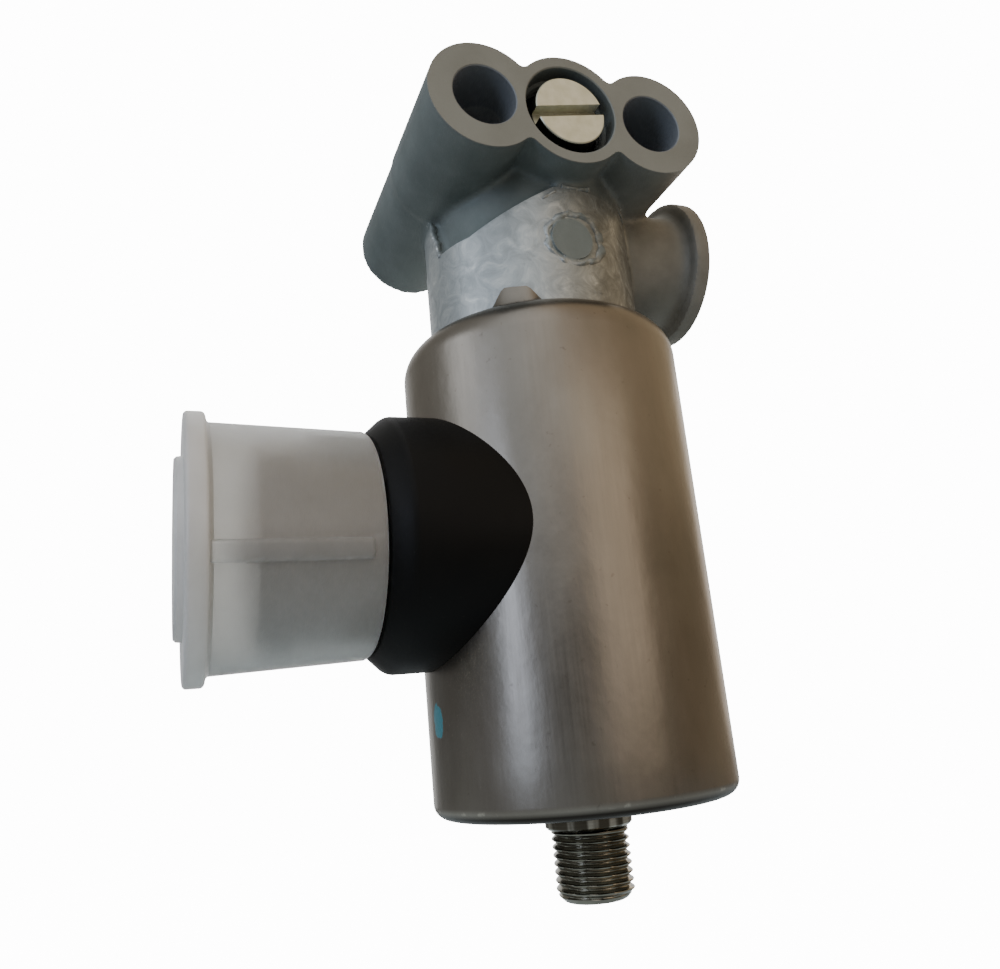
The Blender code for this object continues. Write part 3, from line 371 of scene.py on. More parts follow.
# %% Dressed faces and drilled holes
face_range = (cast_y, sleeve_front + 0.05 * mm, sleeve_front + 0.3 * mm, 1.0, 0.0)
from_front = add(cast, "MapRange", face_range)
dressed_tone = add(cast, "ValToRGB", {"Fac": clouds}, ((0.35, "#8c8f89"), (0.65, "#999c96")))
with_faces = add(cast, "Mix", (from_front, warm_lit_skin, dressed_tone), data_type="RGBA")

# Inside the bolt holes the colour is bare drilled metal, also painted lighter and bluer as painted light
# from the window.
hole_side = add(cast, "Math", (cast_x,), operation="ABSOLUTE")
hole_off = add(cast, "Math", (hole_side, sleeve_pitch / 2), operation="SUBTRACT")
hole_place = add(cast, "CombineXYZ", {"X": hole_off, "Z": cast_z})
hole_far = add(cast, "VectorMath", (hole_place,), operation="LENGTH")
hole_range = (hole_far, bolt_hole_radius + 0.05 * mm, bolt_hole_radius + 0.15 * mm, 1.0, 0.0)
drilled = add(cast, "MapRange", hole_range)
with_lit_holes = add(cast, "Mix", (drilled, with_faces, "#8d9399"), data_type="RGBA")

# %% Skin of the turned neck
flat_inputs = {"Vector": cast_place, "Location": (0, -axis_y, 0), "Scale": (1, 1, 0)}
flat_place = add(cast, "Mapping", flat_inputs)
radial = add(cast, "VectorMath", (flat_place,), operation="LENGTH")
past_neck = add(cast, "Math", (radial, neck_radius), operation="SUBTRACT")
off_neck = add(cast, "Math", (past_neck,), operation="ABSOLUTE")
by_radius = add(cast, "MapRange", (off_neck, neck_skin, 4 * neck_skin, 1.0, 0.0))
by_height = add(cast, "MapRange", (cast_z, -10.0 * mm, -8.4 * mm, 1.0, 0.0))
on_neck = add(cast, "Math", (by_radius, by_height), operation="MULTIPLY")

gate_shift = (-gate_centre.x, -0.2 * gate_centre.y, -gate_centre.z)
gate_place = add(cast, "Mapping", {"Vector": cast_place, "Location": gate_shift, "Scale": (1, 0.2, 1)})
gate_far = add(cast, "VectorMath", (gate_place,), operation="LENGTH")
off_gate = add(cast, "MapRange", (gate_far, gate_radius, gate_radius + 0.5 * mm, 0.1, 1.0))
near_gate = add(cast, "MapRange", (gate_far, 5 * mm, 10 * mm, 1.0, 0.1))
on_turned = add(cast, "Math", (on_neck, off_gate), operation="MULTIPLY")

near_core = add(cast, "MapRange", (off_neck, 1.0 * mm, 1.5 * mm, 1.0, 0.0))
worn = add(cast, "NewGeometry").outputs["Pointiness"]
worn_edge = add(cast, "MapRange", (worn, 0.53, 0.6, 0.0, 0.8))
worn_part = add(cast, "Math", (worn_edge, near_core), operation="MULTIPLY")
with_wear = add(cast, "Mix", (worn_part, with_lit_holes, "#c3c5c0"), data_type="RGBA")

swirl_inputs = {"Vector": cast_place, "Scale": 1 / (3.2 * mm), "Detail": 6.0, "Roughness": 0.65}
swirl_inputs["Distortion"] = 1.4
swirl = add(cast, "TexNoise", swirl_inputs)
swirl_stops = ((0.36, "#a1a8a9"), (0.5, "#b0b7b8"), (0.62, "#bfc5c4"), (0.7, "#cfd3d1"))
bright_turned = add(cast, "ValToRGB", {"Fac": swirl}, swirl_stops)
# Towards +x the turned neck is darker and warmer: partly a duller finish, partly painted shade under the
# boss and port.
dull_shaded_stops = ((0.36, "#74746c"), (0.5, "#868780"), (0.6, "#999a93"), (0.68, "#bdbeb7"))
dull_shaded_turned = add(cast, "ValToRGB", {"Fac": swirl}, dull_shaded_stops)
dull_shaded_side = add(cast, "MapRange", (cast_x, -5 * mm, 5 * mm, 0.0, 1.0))
turned_tone = add(cast, "Mix", (dull_shaded_side, bright_turned, dull_shaded_turned), data_type="RGBA")
cast_tone = add(cast, "Mix", (on_turned, with_wear, turned_tone), data_type="RGBA")
plug_in(cast, cast_shader, Base_Color=cast_tone)

# %% Gloss and relief of the casting
rough_skin = add(cast, "MapRange", (clouds, 0.3, 0.7, 0.58, 0.68))
rough_neck = add(cast, "MapRange", (swirl, 0.35, 0.65, 0.44, 0.34))
roughness = add(cast, "Mix", (on_turned, rough_skin, rough_neck))
plug_in(cast, cast_shader, Roughness=roughness)

pebble = add(cast, "TexNoise", {"Vector": cast_place, "Scale": 1 / (0.4 * mm), "Detail": 2.0})
pebble_relief = add(cast, "Bump", {"Height": pebble, "Distance": 0.02 * mm, "Strength": 0.6})
swirl_part = add(cast, "Math", (on_turned, near_gate), operation="MULTIPLY")
swirl_depth = add(cast, "Math", (swirl, swirl_part), operation="MULTIPLY")
swirl_bump = {"Height": swirl_depth, "Distance": 0.18 * mm, "Strength": 0.8, "Normal": pebble_relief}
swirl_relief = add(cast, "Bump", swirl_bump)
plug_in(cast, cast_shader, Normal=swirl_relief)

# %% [markdown]
# ## Casting
#
# A casting has no sharp inner corners: metal shrinks and cracks there, so every joint between
# two forms is a fillet. Raw stock for the core, the sleeves, the boss and the port is therefore
# overlapped, remeshed into one skin of small squares and smoothed, which rounds every corner as
# a mould would. Under the left sleeve the core is set back in a pocket. The turned neck is added
# after the smoothing, so that its upper end keeps the crisp slanting edge that a lathe leaves.

# %% Raw casting
neck_top = -2.8 * mm
flange_radius = can_radius - 1.8 * mm
shoulder_centre = can_radius - 5.0 * mm
shoulder_height = can_foot + 60.0 * mm
shoulder_size = 3.2 * mm
sleeve_radius = 8.0 * mm
boss_radius = 8.4 * mm
face_stock = 2.0 * mm
pocket_floor = -14.9 * mm
pocket_corner = Vector((-12.6 * mm, 0, pocket_floor))
pocket_top = Vector((-1.8 * mm, 0, -9.4 * mm))
rising = (pocket_top - pocket_corner).normalized()
under_rising = Vector((rising.z, 0, -rising.x))


def above_turning(size, centre):
    """The space over the turned neck: flat at the left, then rising towards the boss."""
    space = block(size, centre)
    slice_off(space, pocket_corner, Vector((0, 0, -1)))
    slice_off(space, pocket_corner, under_rising)
    return space


core = rod(neck_radius - 0.1 * mm, (0, axis_y, body_foot + 10 * mm), (0, axis_y, neck_top), 128)
pocket = above_turning((36 * mm, 24 * mm, 30 * mm), (-16 * mm, axis_y - 11.6 * mm, -10 * mm))
ridge_low = Vector((0, -25.2 * mm, -15.2 * mm))
ridge_high = Vector((0, -21.0 * mm, -5.5 * mm))
along_ridge = (ridge_high - ridge_low).normalized()
slice_off(pocket, ridge_low, Vector((0, along_ridge.z, -along_ridge.y)))
slice_off(pocket, Vector((1.0 * mm, 0, 0)), Vector((1, 0, 0)))
deselect()
inner_place = (-0.2 * mm, axis_y, 0)
bpy.ops.mesh.primitive_cylinder_add(vertices=96, radius=mm, depth=60 * mm, location=inner_place)
inner_core = bpy.context.object
inner_core.scale = (13.7, 14.5, 1.0)
apply_place(inner_core)
carve(pocket, inner_core)
carve(core, pocket)
print("core has", len(core.data.polygons), "faces with its pocket")

# %% Sleeves, boss and port
raw = [core]
front_stock = sleeve_front - face_stock
lobes = ((-sleeve_pitch / 2, sleeve_radius), (0, boss_radius), (sleeve_pitch / 2, sleeve_radius))
for x, radius in lobes:
    raw.append(rod(radius, (x, front_stock, 0), (x, axis_y, 0), 96))
    raw.append(rod(radius - 0.2 * mm, (x, axis_y - mm, 0), (x, sleeve_rear, 0), 96))
web_length = sleeve_rear - front_stock
raw.append(block((sleeve_pitch, web_length, 9.5 * mm), (0, (sleeve_rear + front_stock) / 2, 0)))

port_z = -12.3 * mm
port_neck_radius = 8.9 * mm
port_flange_radius = 11.5 * mm
port_flange_width = 2.4 * mm
port_fillet = 1.6 * mm
port_outline = [
    (0, port_rim + face_stock),
    (port_flange_radius, port_rim + face_stock),
    (port_flange_radius, port_rim - port_flange_width),
]
port_outline += arc(
    port_neck_radius + port_fillet, port_rim - port_flange_width - port_fillet, port_fillet, 90, 180, 6
)
port_outline += [(port_neck_radius, 5 * mm), (0, 5 * mm)]
raw.append(turn("port", port_outline, "X", (0, axis_y, port_z)))

casting = join(raw)
casting.name = "casting"
voxel = 0.45 * mm
apply_modifier(casting, "REMESH", mode="VOXEL", voxel_size=voxel)
apply_modifier(casting, "SMOOTH", factor=0.5, iterations=6)
print("casting has", len(casting.data.polygons), "faces")

# %% [markdown]
# ## Machining the casting
#
# Next come the machined forms. The neck and its flange are turned, the front of the sleeves and
# the port's rim are faced off flat, the bolt holes are drilled through, the middle boss is bored
# for the plug, and the port is bored and threaded.

# %% Turned neck
over = 1 * mm
turned_top = pocket_top.z
neck_outline = [(0, turned_top), (neck_radius, turned_top)]
neck_span = shoulder_height + shoulder_size - turned_top
for step in range(1, 9):
    neck_outline.append((neck_radius, turned_top + neck_span * step / 8))
neck_outline += arc(shoulder_centre, shoulder_height, shoulder_size, 70, 0, 6)
neck_outline += [(flange_radius, body_foot), (0, body_foot)]
neck = turn("neck", neck_outline, centre=(0, axis_y, 0), steps=192)
above = above_turning((44 * mm, 44 * mm, 30 * mm), (-22.5 * mm + 1.2 * mm, axis_y, -10 * mm))
carve(neck, above)
carve(casting, neck, "UNION")

# %% [markdown]
# ## Gate and flash
#
# Metal was let in at the front of the neck. Breaking the gate off leaves a flat disc in a torn,
# uneven ring, and a little flash stands where the mould halves met under the boss. The ring is a
# torus whose points are pushed about by noise. Noise vectors take their seed from the clock, so
# a seed is set and each run gives the same ring. Ring, disc and flash are remeshed into one
# solid, which a single union then adds.

# %% Gate
deselect()
bpy.ops.mesh.primitive_torus_add(
    major_segments=96,
    minor_segments=14,
    major_radius=3.8 * mm,
    minor_radius=0.55 * mm,
    location=gate_centre + Vector((0.6 * mm, 0.28 * mm, 0.1 * mm)),
    rotation=(half_turn / 2, 0, 0),
)
torn_ring = bpy.context.object
torn_ring.scale = (1.12, 1.0, 1.0)
apply_place(torn_ring)
noise.seed_set(1)
for vertex in torn_ring.data.vertices:
    across = vertex.co.x - gate_centre.x
    vertex.co.y += neck_radius - math.sqrt(neck_radius**2 - across**2)
    push = noise.noise_vector(vertex.co / (1.4 * mm))
    fine_push = noise.noise_vector(vertex.co / (0.5 * mm))
    vertex.co += push * 0.42 * mm + fine_push * 0.1 * mm
gate_front = gate_centre + Vector((0, -0.12 * mm, 0))
torn = [torn_ring, rod(gate_radius, gate_front, gate_centre + Vector((0, 3 * mm, 0)), 48)]
print("gate ring has", len(torn_ring.data.polygons), "faces")

# %% Flash
flash_lines = (
    ((-3.6, -36.6, -11.3), (-1.5, -37.1, -9.9), 0.3),
    ((-0.6, -37.1, -9.3), (3.9, -36.7, -8.9), 0.42),
    ((7.4, -35.2, -5.9), (12.4, -31.2, -9.6), 0.36),
    ((-14.9, -24.9, -15.1), (-15.1, -21.0, -5.6), 0.5),
    ((2.6, -36.9, -24.9), (4.6, -36.3, -25.3), 0.3),
)
for start, end, size in flash_lines:
    start = Vector(start) * mm
    span = Vector(end) * mm - start
    spine = rod(size * mm, start, start + span, 10)
    apply_modifier(spine, "REMESH", mode="VOXEL", voxel_size=0.16 * mm)
    for vertex in spine.data.vertices:
        vertex.co += noise.noise_vector(vertex.co / (0.9 * mm)) * 0.25 * mm
    apply_modifier(spine, "SMOOTH", factor=0.5, iterations=3)
    torn.append(spine)

torn_ring = join(torn)
apply_modifier(torn_ring, "REMESH", mode="VOXEL", voxel_size=0.13 * mm)
print("gate and flash have", len(torn_ring.data.polygons), "faces")
carve(casting, torn_ring, "UNION")
print("casting has", len(casting.data.polygons), "faces with its gate")


# %% Bores and faces
plug_radius = 5.9 * mm
mouth_radius = 6.75 * mm


def bore(name, outline, direction, centre):
    return turn(name, outline, direction, centre, steps=96)


carve(casting, block((90 * mm, 20 * mm, 60 * mm), (0, sleeve_front - 10 * mm, 0)))
carve(casting, block((20 * mm, 60 * mm, 40 * mm), (port_rim + 10 * mm, axis_y, port_z)))

hole_edge = 0.15 * mm
bolt_outline = [
    (0, sleeve_front - over),
    (bolt_hole_radius + hole_edge + over, sleeve_front - over),
    (bolt_hole_radius, sleeve_front + hole_edge),
    (bolt_hole_radius, sleeve_rear - hole_edge),
    (bolt_hole_radius + hole_edge + over, sleeve_rear + over),
    (0, sleeve_rear + over),
]
for side in (-1, 1):
    carve(casting, bore("bolt_hole", bolt_outline, "Y", (side * sleeve_pitch / 2, 0, 0)))
print("bolt holes are", round(2 * bolt_hole_radius / mm, 1), "mm wide")

# %% Boss bore
plug_low, plug_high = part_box("plug_screw")
plug_face = plug_low.y
plug_bore = plug_radius + 0.3 * mm
plug_end = plug_high.y + 0.3 * mm
blind_end = axis_y + 8.5 * mm
cross_radius = 4.0 * mm
thread_pitch = 1.0 * mm
thread_height = 0.5 * mm
boss_outline = [
    (0, sleeve_front - over),
    (mouth_radius + hole_edge + over, sleeve_front - over),
    (mouth_radius, sleeve_front + hole_edge),
    (mouth_radius - 0.1 * mm, sleeve_front + 2.6 * mm),
]
for turn_index in range(3):
    crest = sleeve_front + 3.0 * mm + turn_index * thread_pitch
    boss_outline += [(plug_bore + 0.05 * mm, crest), (plug_bore + thread_height, crest + thread_pitch / 2)]
boss_outline += [(plug_bore, sleeve_front + 6.2 * mm), (plug_bore, plug_end)]
boss_outline += [(cross_radius, plug_end), (cross_radius, blind_end), (0, blind_end)]
carve(casting, bore("boss_bore", boss_outline, "Y", (0, 0, 0)))
print("boss is bored", round((blind_end - sleeve_front) / mm, 1), "mm deep")

# %% Port bore
port_bore_radius = 7.2 * mm
port_floor = port_rim - 12.5 * mm
port_chamfer = 0.8 * mm
port_thread_pitch = 1.5 * mm
passage_radius = 2.5 * mm
port_cut = [
    (0, port_rim + over),
    (port_bore_radius + port_chamfer + over, port_rim + over),
    (port_bore_radius, port_rim - port_chamfer),
]
for turn_index in range(6):
    crest = port_rim - 1.2 * mm - turn_index * port_thread_pitch
    port_cut += [(port_bore_radius, crest), (port_bore_radius + 0.6 * mm, crest - port_thread_pitch / 2)]
port_cut += [(port_bore_radius, port_rim - 10.2 * mm), (port_bore_radius, port_floor)]
port_cut += [(passage_radius, port_floor), (passage_radius, -2 * mm), (0, -2 * mm)]
carve(casting, bore("port_bore", port_cut, "X", (0, axis_y, port_z)))
print("port is bored", round((port_rim - port_floor) / mm, 1), "mm deep")

# %% Chamber and mounting seal
seat_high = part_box("valve_seat")[1]
tube_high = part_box("guide_tube")[1]
inlet_top = port_z + 0.6 * mm
inlet_radius = 2.0 * mm
seat_top = seat_high.z + 0.3 * mm
chamber_top = body_foot + 4.4 * mm
tube_top = tube_high.z + 0.3 * mm
seal_top = body_foot + 1.5 * mm
chamber = [(0, inlet_top), (inlet_radius, inlet_top), (inlet_radius, seat_top)]
chamber += [(3.5 * mm, seat_top), (3.5 * mm, chamber_top), (6.6 * mm, chamber_top), (6.6 * mm, tube_top)]
chamber += [(7.8 * mm, tube_top), (7.8 * mm, seal_top), (9.3 * mm, seal_top)]
chamber += [(9.3 * mm, body_foot - over), (0, body_foot - over)]
carve(casting, bore("chamber", chamber, "Z", (0, axis_y, 0)))

face_seal_z = -5.2 * mm
face_seal_floor = (0, sleeve_rear - 1.1 * mm, face_seal_z)
carve(casting, rod(2.7 * mm, face_seal_floor, (0, sleeve_rear + over, face_seal_z), 48))
finished(casting, "root", ["valve_body"], cast)

# %% [markdown]
# ## Drawn and passivated steel
#
# The can is deep drawn, so fine lines run along its length, and passivated, which gives the
# steel a brown tint that shifts a little from patch to patch. Handling has left shallow dents
# and fine specks, which break up its reflections. A dab of blue paint near the foot is an
# inspector's mark: a stretched distance field with a ragged edge.

# %% Can finish
can_steel, can_shader, can_place = start_finish("passivated_steel", "#888279", 0.3, 1.0)
patch_place = add(can_steel, "Mapping", {"Vector": can_place, "Scale": (1, 1, 0.5)})
patches = add(can_steel, "TexNoise", {"Vector": patch_place, "Scale": 1 / (11 * mm), "Detail": 4.0})
patch_stops = ((0.3, "#7c776e"), (0.5, "#888279"), (0.7, "#948f86"))
patch_tone = add(can_steel, "ValToRGB", {"Fac": patches}, patch_stops)
specks = add(can_steel, "TexNoise", {"Vector": can_place, "Scale": 1 / (1.1 * mm), "Detail": 3.0})
smudge = add(can_steel, "MapRange", (specks, 0.68, 0.78, 0.0, 0.35))
smudged = add(can_steel, "Mix", (smudge, patch_tone, "#544a41"), data_type="RGBA")
can_z = add(can_steel, "SeparateXYZ", {"Vector": can_place}).outputs["Z"]
at_foot = add(can_steel, "MapRange", (can_z, can_foot + 0.7 * mm, can_foot + 1.3 * mm, 1.0, 0.0))
with_foot = add(can_steel, "Mix", (at_foot, smudged, "#2f2b27"), data_type="RGBA")
edge_off = add(can_steel, "Math", (can_z, can_foot + 1.4 * mm), operation="SUBTRACT")
edge_far = add(can_steel, "Math", (edge_off,), operation="ABSOLUTE")
edge_near = add(can_steel, "MapRange", (edge_far, 0.0, 0.3 * mm, 1.0, 0.0))
chips = add(can_steel, "TexNoise", {"Vector": can_place, "Scale": 1 / (2 * mm), "Detail": 4.0})
chip_part = add(can_steel, "MapRange", (chips, 0.6, 0.66, 0.0, 1.0))
chipped = add(can_steel, "Math", (edge_near, chip_part), operation="MULTIPLY")
with_chips = add(can_steel, "Mix", (chipped, with_foot, "#b8b2a6"), data_type="RGBA")

# %% Paint mark
mark_place = Vector((-19.94 * mm, axis_y - 1.56 * mm, can_foot + 12.4 * mm))
mark_scale = Vector((1 / (3.2 * mm), 1 / (1.5 * mm), 1 / (2.4 * mm)))
mark_shift = Vector([-place * scale for place, scale in zip(mark_place, mark_scale)])
mark_inputs = {"Vector": can_place, "Location": mark_shift, "Scale": mark_scale}
mark_where = add(can_steel, "Mapping", mark_inputs)
mark_far = add(can_steel, "VectorMath", (mark_where,), operation="LENGTH")
ragged = add(can_steel, "TexNoise", {"Vector": can_place, "Scale": 1 / (1.2 * mm), "Detail": 2.0})
mark_edge = add(can_steel, "Math", (mark_far, ragged), operation="ADD")
mark_mask = add(can_steel, "MapRange", (mark_edge, 1.42, 1.5, 1.0, 0.0))
can_tone = add(can_steel, "Mix", (mark_mask, with_chips, "#41929f"), data_type="RGBA")
metal_share = add(can_steel, "Math", (1.0, mark_mask), operation="SUBTRACT")
line_place = add(can_steel, "Mapping", {"Vector": can_place, "Scale": (1, 1, 0.03)})
drawn_lines = add(can_steel, "TexNoise", {"Vector": line_place, "Scale": 1 / (0.3 * mm), "Detail": 2.0})
streaks = add(can_steel, "Math", (patches, drawn_lines), operation="ADD")
dull = add(can_steel, "MapRange", (streaks, 0.7, 1.3, 0.28, 0.36))
plug_in(can_steel, can_shader, Base_Color=can_tone, Metallic=metal_share, Roughness=dull)

# %% Dents and drawn lines
dent_place = add(can_steel, "Mapping", {"Vector": can_place, "Scale": (1, 1, 0.6)})
dents = add(can_steel, "TexNoise", {"Vector": dent_place, "Scale": 1 / (2.2 * mm), "Detail": 3.0})
dent_relief = add(can_steel, "Bump", {"Height": dents, "Distance": 0.06 * mm, "Strength": 0.7})
line_bump = {"Height": drawn_lines, "Distance": 0.0025 * mm, "Strength": 0.7, "Normal": dent_relief}
line_relief = add(can_steel, "Bump", line_bump)
speck_bump = {"Height": specks, "Distance": 0.008 * mm, "Strength": 0.5, "Normal": line_relief}
speck_relief = add(can_steel, "Bump", speck_bump)
plug_in(can_steel, can_shader, Normal=speck_relief)

# %% [markdown]
# ## Can
#
# The can is a cup whose open end is rolled over the body's flange. After the spin, the rolled
# edge gets what the roller leaves: a slightly wavy rim and one staked tab that stands up against
# the neck. Last, a round window is cut for the connector.

# %% Can
can_shoulder = 5.0 * mm
can_wall = 1.5 * mm
can_corner = 1.9 * mm
can_side = can_radius - can_shoulder
shoulder_z = can_foot + 65.0 * mm - can_shoulder
opening = neck_radius + 0.15 * mm
stud_hole = 6.1 * mm
rim_angle = math.degrees(math.acos((opening - can_side) / can_shoulder))
inner_angle = math.degrees(math.acos((opening - can_side) / (can_shoulder - can_wall)))
can_outline = arc(can_side, shoulder_z, can_shoulder, rim_angle, 0, 36)
side_steps = 12
side_length = shoulder_z - can_foot - can_corner
for step in range(1, side_steps):
    can_outline.append((can_radius, shoulder_z - side_length * step / side_steps))
can_outline += arc(can_radius - can_corner, can_foot + can_corner, can_corner, 0, -90, 8)
can_outline += [(stud_hole + 0.3 * mm, can_foot), (stud_hole, can_foot + 0.3 * mm)]
can_outline.append((stud_hole, can_foot + can_wall))
can_outline += arc(can_radius - can_corner, can_foot + can_corner, can_corner - can_wall, -90, 0, 4)
can_outline += arc(can_side, shoulder_z, can_shoulder - can_wall, 0, inner_angle, 8)
can_outline.append(can_outline[0])
can = turn("can", can_outline, centre=(0, axis_y, 0), steps=192)
print("can has", len(can.data.polygons), "faces as spun")

# %% Rolled edge with its tab
tab_angle = math.radians(-122)
tab_half_width = 3.9 * mm / neck_radius
tab_rise = 3.0 * mm
rim_reach = 16.2 * mm
for vertex in can.data.vertices:
    x = vertex.co.x
    y = vertex.co.y - axis_y
    radius = math.hypot(x, y)
    if radius < neck_radius - mm or vertex.co.z < shoulder_z:
        continue
    near_rim = smooth_step((rim_reach - radius) / (rim_reach - neck_radius))
    angle = math.atan2(y, x)
    from_tab = abs((angle - tab_angle + half_turn) % full_turn - half_turn) / tab_half_width
    tab = tab_rise * smooth_step((1.0 - from_tab) / 0.65)
    wave = 0.4 * mm * noise.noise(Vector((math.cos(angle), math.sin(angle), 0)) * 3.0)
    vertex.co.z += near_rim * (tab + wave)

# %% Connector window
window_radius = 9.8 * mm
window_start = connector_centre - Vector((30 * mm, 0, 0))
carve(can, rod(window_radius, window_start, connector_centre - Vector((10 * mm, 0, 0))))
finished(can, "root", ["solenoid_shell"], can_steel, 40)

# %% [markdown]
# ## Turned steel and the stud
#
# The stud is cut on a lathe: a short neck with upright light and dark bands of painted reflection,
# and below it a dark, oiled thread. A thread is a helix, so the rings of a fine cylinder are pushed in
# and out by how far each point has gone round.

# %% Stud finish
stud_steel, stud_shader, stud_place = start_finish("turned_steel", "#a5a196", 0.2, 1.0)
core_low, core_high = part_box("pole_core")
stud_end = core_low.z
cone_length = 3.0 * mm
thread_start = can_foot - cone_length
stud_z = add(stud_steel, "SeparateXYZ", {"Vector": stud_place}).outputs["Z"]
oiled_range = (stud_z, thread_start - 0.2 * mm, thread_start + 0.2 * mm, 1.0, 0.0)
oiled = add(stud_steel, "MapRange", oiled_range)
stud_cloud = add(stud_steel, "TexNoise", {"Vector": stud_place, "Scale": 1 / (2 * mm), "Detail": 3.0})
# The neck's upright light and dark bands are painted reflections.
band_place = add(stud_steel, "Mapping", {"Vector": stud_place, "Scale": (1, 1, 0.05)})
reflection_bands = add(stud_steel, "TexNoise", {"Vector": band_place, "Scale": 1 / (1.6 * mm), "Detail": 2.0})
neck_reflection_tone = add(stud_steel, "ValToRGB", {"Fac": reflection_bands}, ((0.44, "#5a554b"), (0.6, "#b9b5aa")))
oiled_tone = add(stud_steel, "ValToRGB", {"Fac": stud_cloud}, ((0.3, "#77746a"), (0.7, "#918e82")))
stud_tone = add(stud_steel, "Mix", (oiled, neck_reflection_tone, oiled_tone), data_type="RGBA")
stud_rough = add(stud_steel, "MapRange", (stud_cloud, 0.3, 0.7, 0.12, 0.22))
ring_place = add(stud_steel, "Mapping", {"Vector": stud_place, "Scale": (0.03, 0.03, 1)})
rings = add(stud_steel, "TexNoise", {"Vector": ring_place, "Scale": 1 / (0.25 * mm), "Detail": 2.0})
ring_relief = add(stud_steel, "Bump", {"Height": rings, "Distance": 0.01 * mm, "Strength": 0.6})
plug_in(stud_steel, stud_shader, Base_Color=stud_tone, Roughness=stud_rough, Normal=ring_relief)

# %% Stud
stud_radius = 5.05 * mm
cone_radius = 5.8 * mm
vent_radius = 1.25 * mm
thread_depth = 0.5 * mm
base_foot = can_foot + 1.8 * mm
base_top = can_foot + 5.0 * mm
base_radius = 9.5 * mm
core_radius = 6.5 * mm
core_top = core_high.z - 0.5 * mm
stud_outline = [(vent_radius, core_high.z), (1.9 * mm, core_high.z), (2.4 * mm, core_top)]
stud_outline += [(core_radius, core_top), (core_radius, base_top)]
stud_outline += [(base_radius, base_top), (base_radius, base_foot)]
neck_end = thread_start + 0.25 * mm
stud_outline += [(cone_radius, base_foot), (cone_radius, can_foot - 0.3 * mm)]
stud_outline += [(cone_radius - 0.12 * mm, neck_end + 0.3 * mm), (cone_radius - 0.42 * mm, neck_end)]
stud_outline += [(stud_radius - 0.4 * mm, thread_start)]
ring_step = 0.1 * mm
ring_count = round((thread_start - stud_end) / ring_step)
for ring in range(1, ring_count):
    stud_outline.append((stud_radius, thread_start - ring * ring_step))
stud_outline += [(stud_radius - 1.1 * mm, stud_end), (vent_radius + 0.3 * mm, stud_end)]
stud_outline += [(vent_radius, stud_end + 0.3 * mm), (vent_radius, core_high.z)]
stud = turn("stud", stud_outline, centre=(0, axis_y, 0), steps=128)
print("stud has", ring_count, "rings for its thread")

# %% Thread
end_chamfer = 1.0 * mm
for vertex in stud.data.vertices:
    x = vertex.co.x
    y = vertex.co.y - axis_y
    z = vertex.co.z
    radius = math.hypot(x, y)
    if not (stud_end + ring_step / 2 < z < thread_start - ring_step / 2) or radius < 4 * mm:
        continue
    turns = (thread_start - z) / thread_pitch - math.atan2(y, x) / full_turn
    flank = abs(turns % 1.0 - 0.5) * 2
    groove = thread_depth * smooth_step(flank)
    start_fade = smooth_step((thread_start - z) / (0.5 * mm))
    rounding = max(0.0, end_chamfer - (z - stud_end))
    cut_in = max(groove * start_fade, rounding)
    keep = (stud_radius - cut_in) / radius
    vertex.co.x = x * keep
    vertex.co.y = axis_y + y * keep
finished(stud, "root", ["pole_core"], stud_steel, 40)

# %% [markdown]
# ## Nickel-plated plug
#
# A slotted plug closes the boss. It is plated, so it is pale and warm, with a soft gloss. Its
# head is narrower than the bore and stands clear of it, which leaves a deep gap all round; the
# head's side in the gap is painted near-black as painted shade. The plating is painted darker
# with depth into the slot and below the head: painted shade.

# %% Plug finish
plug_face_radius = 5.2 * mm
nickel, nickel_shader, nickel_place = start_finish("nickel_plate", "#d6d6bf", 0.34, 0.65)
nickel_cloud = add(nickel, "TexNoise", {"Vector": nickel_place, "Scale": 1 / (1.5 * mm), "Detail": 3.0})
nickel_tone = add(nickel, "ValToRGB", {"Fac": nickel_cloud}, ((0.3, "#dedfc8"), (0.7, "#f0f1de")))
nickel_y = add(nickel, "SeparateXYZ", {"Vector": nickel_place}).outputs["Y"]
# The plating is painted darker with depth behind the face, into the slot and under the head: painted
# shade.
deep = add(nickel, "MapRange", (nickel_y, plug_face + 0.4 * mm, plug_face + 3.2 * mm, 0.0, 1.0))
depth_shaded_tone = add(nickel, "Mix", (deep, nickel_tone, "#5a5541"), data_type="RGBA")
flat_nickel = add(nickel, "Mapping", {"Vector": nickel_place, "Scale": (1, 0, 1)})
from_axis = add(nickel, "VectorMath", (flat_nickel,), operation="LENGTH")
# The head's side inside the gap is painted near-black: painted shade.
side_range = (from_axis, plug_face_radius - 0.1 * mm, plug_face_radius - 0.03 * mm, 0.0, 1.0)
on_side = add(nickel, "MapRange", side_range)
in_gap = add(nickel, "MapRange", (nickel_y, plug_face + 0.1 * mm, plug_face + 0.3 * mm, 0.0, 1.0))
gap_shade_part = add(nickel, "Math", (on_side, in_gap), operation="MULTIPLY")
plug_tone = add(nickel, "Mix", (gap_shade_part, depth_shaded_tone, "#16150e"), data_type="RGBA")
pits = add(nickel, "TexNoise", {"Vector": nickel_place, "Scale": 1 / (0.2 * mm), "Detail": 2.0})
pit_relief = add(nickel, "Bump", {"Height": pits, "Distance": 0.006 * mm, "Strength": 0.5})
plug_in(nickel, nickel_shader, Base_Color=plug_tone, Normal=pit_relief)

